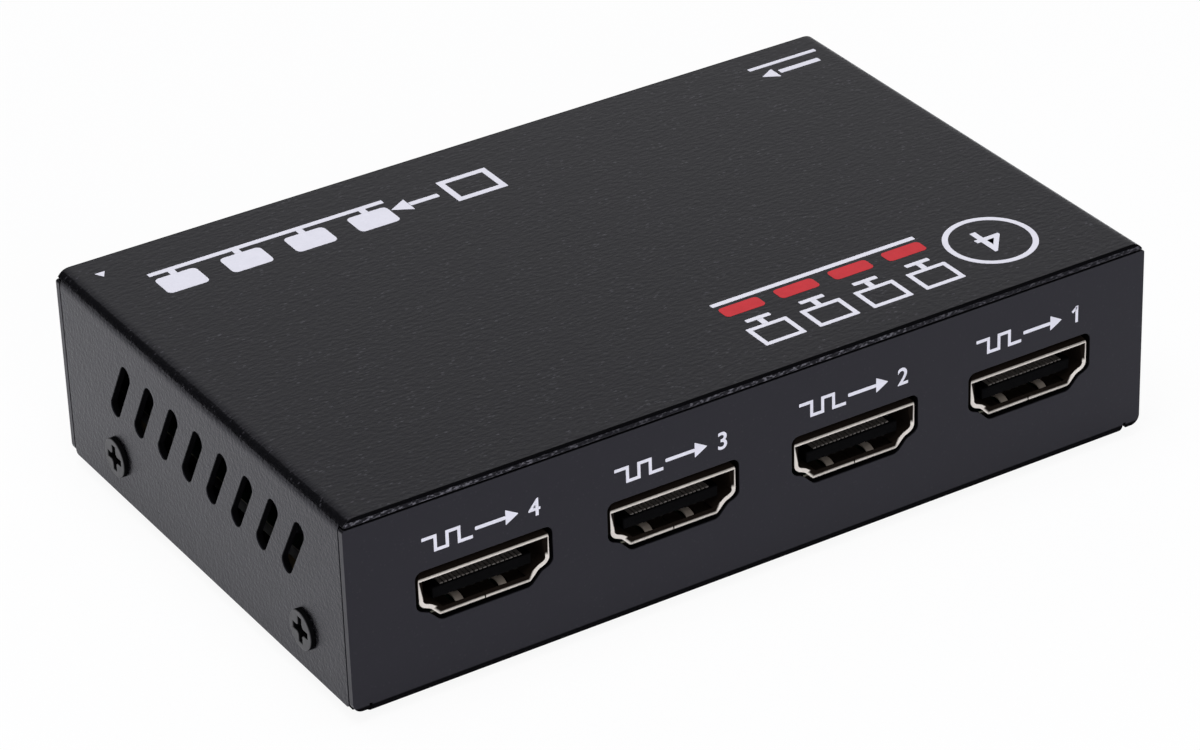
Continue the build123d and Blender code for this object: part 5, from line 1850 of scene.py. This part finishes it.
@dataclass
class Studio:
    """The pale floor, the soft light and the camera at the photograph's angle."""

    camera_place: Point = (-227.032, -372.851, 263.391)
    azimuth: float = -31.351
    elevation: float = 30.257
    roll: float = -1.937
    lens: float = 142.036
    sensor: float = 36.0
    nearest: float = 10.0
    floor_size: float = 6000.0
    floor_plainness: float = 0.93
    room_light: float = 0.05
    target: Point = (0.0, 0.0, 10.0)
    panels: tuple[LightPanel, ...] = (
        LightPanel("key_panel", (-200.0, -150.0, 1100.0), 900.0, 900.0, 13.0),
        LightPanel("back_panel", (360.0, 850.0, 560.0), 1250.0, 950.0, 2.3),
        LightPanel("fill_panel", (-150.0, -800.0, 300.0), 400.0, 400.0, 3.0))

    def build_camera(self) -> None:
        """Sets the camera where the photograph was taken from."""
        azimuth, elevation, roll = (math.radians(angle) for angle in (self.azimuth, self.elevation, self.roll))
        back = Vector((math.sin(azimuth) * math.cos(elevation), -math.cos(azimuth) * math.cos(elevation),
                       math.sin(elevation)))
        level = (-back).cross(Vector((0, 0, 1))).normalized()
        rise = level.cross(-back)
        right = math.cos(roll) * level + math.sin(roll) * rise
        up = math.cos(roll) * rise - math.sin(roll) * level
        bpy.ops.object.camera_add()
        camera = bpy.context.object
        turn = Matrix((right, up, back)).transposed().to_4x4()
        camera.matrix_world = Matrix.Translation(Vector(self.camera_place) * MM) @ turn
        camera.data.sensor_width = self.sensor
        camera.data.lens = self.lens
        camera.data.clip_start = self.nearest * MM
        bpy.context.scene.camera = camera

    def build_floor(self) -> None:
        """A pale floor that keeps the object's shadow, mostly plain white to camera and transmitted rays."""
        bpy.ops.object.select_all(action="DESELECT")
        bpy.ops.mesh.primitive_plane_add(size=self.floor_size * MM)
        floor = bpy.context.object
        floor.name = "studio_floor"
        paper = bpy.data.materials.new("pale_paper")
        paper.use_nodes = True
        tree = paper.node_tree
        tree.nodes.clear()
        lit = add_node(tree, "ShaderNodeBsdfDiffuse", {"Color": linear("#f6f6fa")}).outputs[0]
        white = add_node(tree, "ShaderNodeEmission", {"Color": linear("#fefefe"), "Strength": 1.0}).outputs[0]
        path = add_node(tree, "ShaderNodeLightPath").outputs
        seen = add_node(tree, "ShaderNodeMath", {0: path["Is Camera Ray"], 1: path["Is Transmission Ray"]},
                        operation="MAXIMUM")
        share = add_node(tree, "ShaderNodeMath", {0: seen.outputs[0], 1: self.floor_plainness},
                         operation="MULTIPLY")
        mixed = add_node(tree, "ShaderNodeMixShader", {0: share.outputs[0], 1: lit, 2: white})
        add_node(tree, "ShaderNodeOutputMaterial", {"Surface": mixed.outputs[0]})
        floor.data.materials.append(paper)

    def build_world(self) -> None:
        """A dim room, plain white where the camera sees it."""
        world = bpy.data.worlds.new("studio_world")
        world.use_nodes = True
        tree = world.node_tree
        tree.nodes.clear()
        lit = add_node(tree, "ShaderNodeBackground", {"Color": linear("#f4f4fb"), "Strength": self.room_light})
        white = add_node(tree, "ShaderNodeBackground", {"Color": linear("#fefefe"), "Strength": 1.0})
        path = add_node(tree, "ShaderNodeLightPath").outputs
        mixed = add_node(tree, "ShaderNodeMixShader", {0: path["Is Camera Ray"], 1: lit.outputs[0],
                                                       2: white.outputs[0]})
        add_node(tree, "ShaderNodeOutputWorld", {"Surface": mixed.outputs[0]})
        bpy.context.scene.world = world

    def build(self) -> None:
        """Camera, floor, world and lights."""
        self.build_camera()
        self.build_floor()
        self.build_world()
        for panel in self.panels:
            panel.hang(self.target)
        bpy.context.scene.view_settings.view_transform = "Standard"


def main() -> None:
    """Loads the frame and builds the studio, the case, the connectors and the prints around it."""
    logging.basicConfig(level=logging.INFO, format="%(message)s")
    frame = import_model()
    Studio().build()
    case = Case()
    socket = VideoSocket()
    rear = RearPanel(case.back)
    outputs = [OUTPUT_ROW + step for step in spread(OUTPUT_COUNT, OUTPUT_PITCH)]
    places = {f"output_{OUTPUT_COUNT - index}": ((x, -case.back, BOARD_TOP), NOWHERE)
              for index, x in enumerate(outputs)}
    places["input"] = ((INPUT_X, case.back, BOARD_TOP), HALF_TURN)
    socket_holes = [moved(socket.prism("socket_hole", socket.cutout_gap, rear.hole_reach), place, turn)
                    for place, turn in places.values()]
    case.build_cover()
    case.build_tray(socket_holes + rear.panel_tools())
    case.build_screws()
    case.build_feet()
    socket.build_all(places)
    rear.build_jack()
    rear.build_pin()
    rear.build_slider()
    rear.build_lamps()
    markings = Markings(case)
    markings.build_source()
    markings.build_screens()
    markings.build_front(outputs)
    markings.build_rear(rear, INPUT_X)
    dress_carried_over(frame["nodes"])


if __name__ == "__main__":
    main()
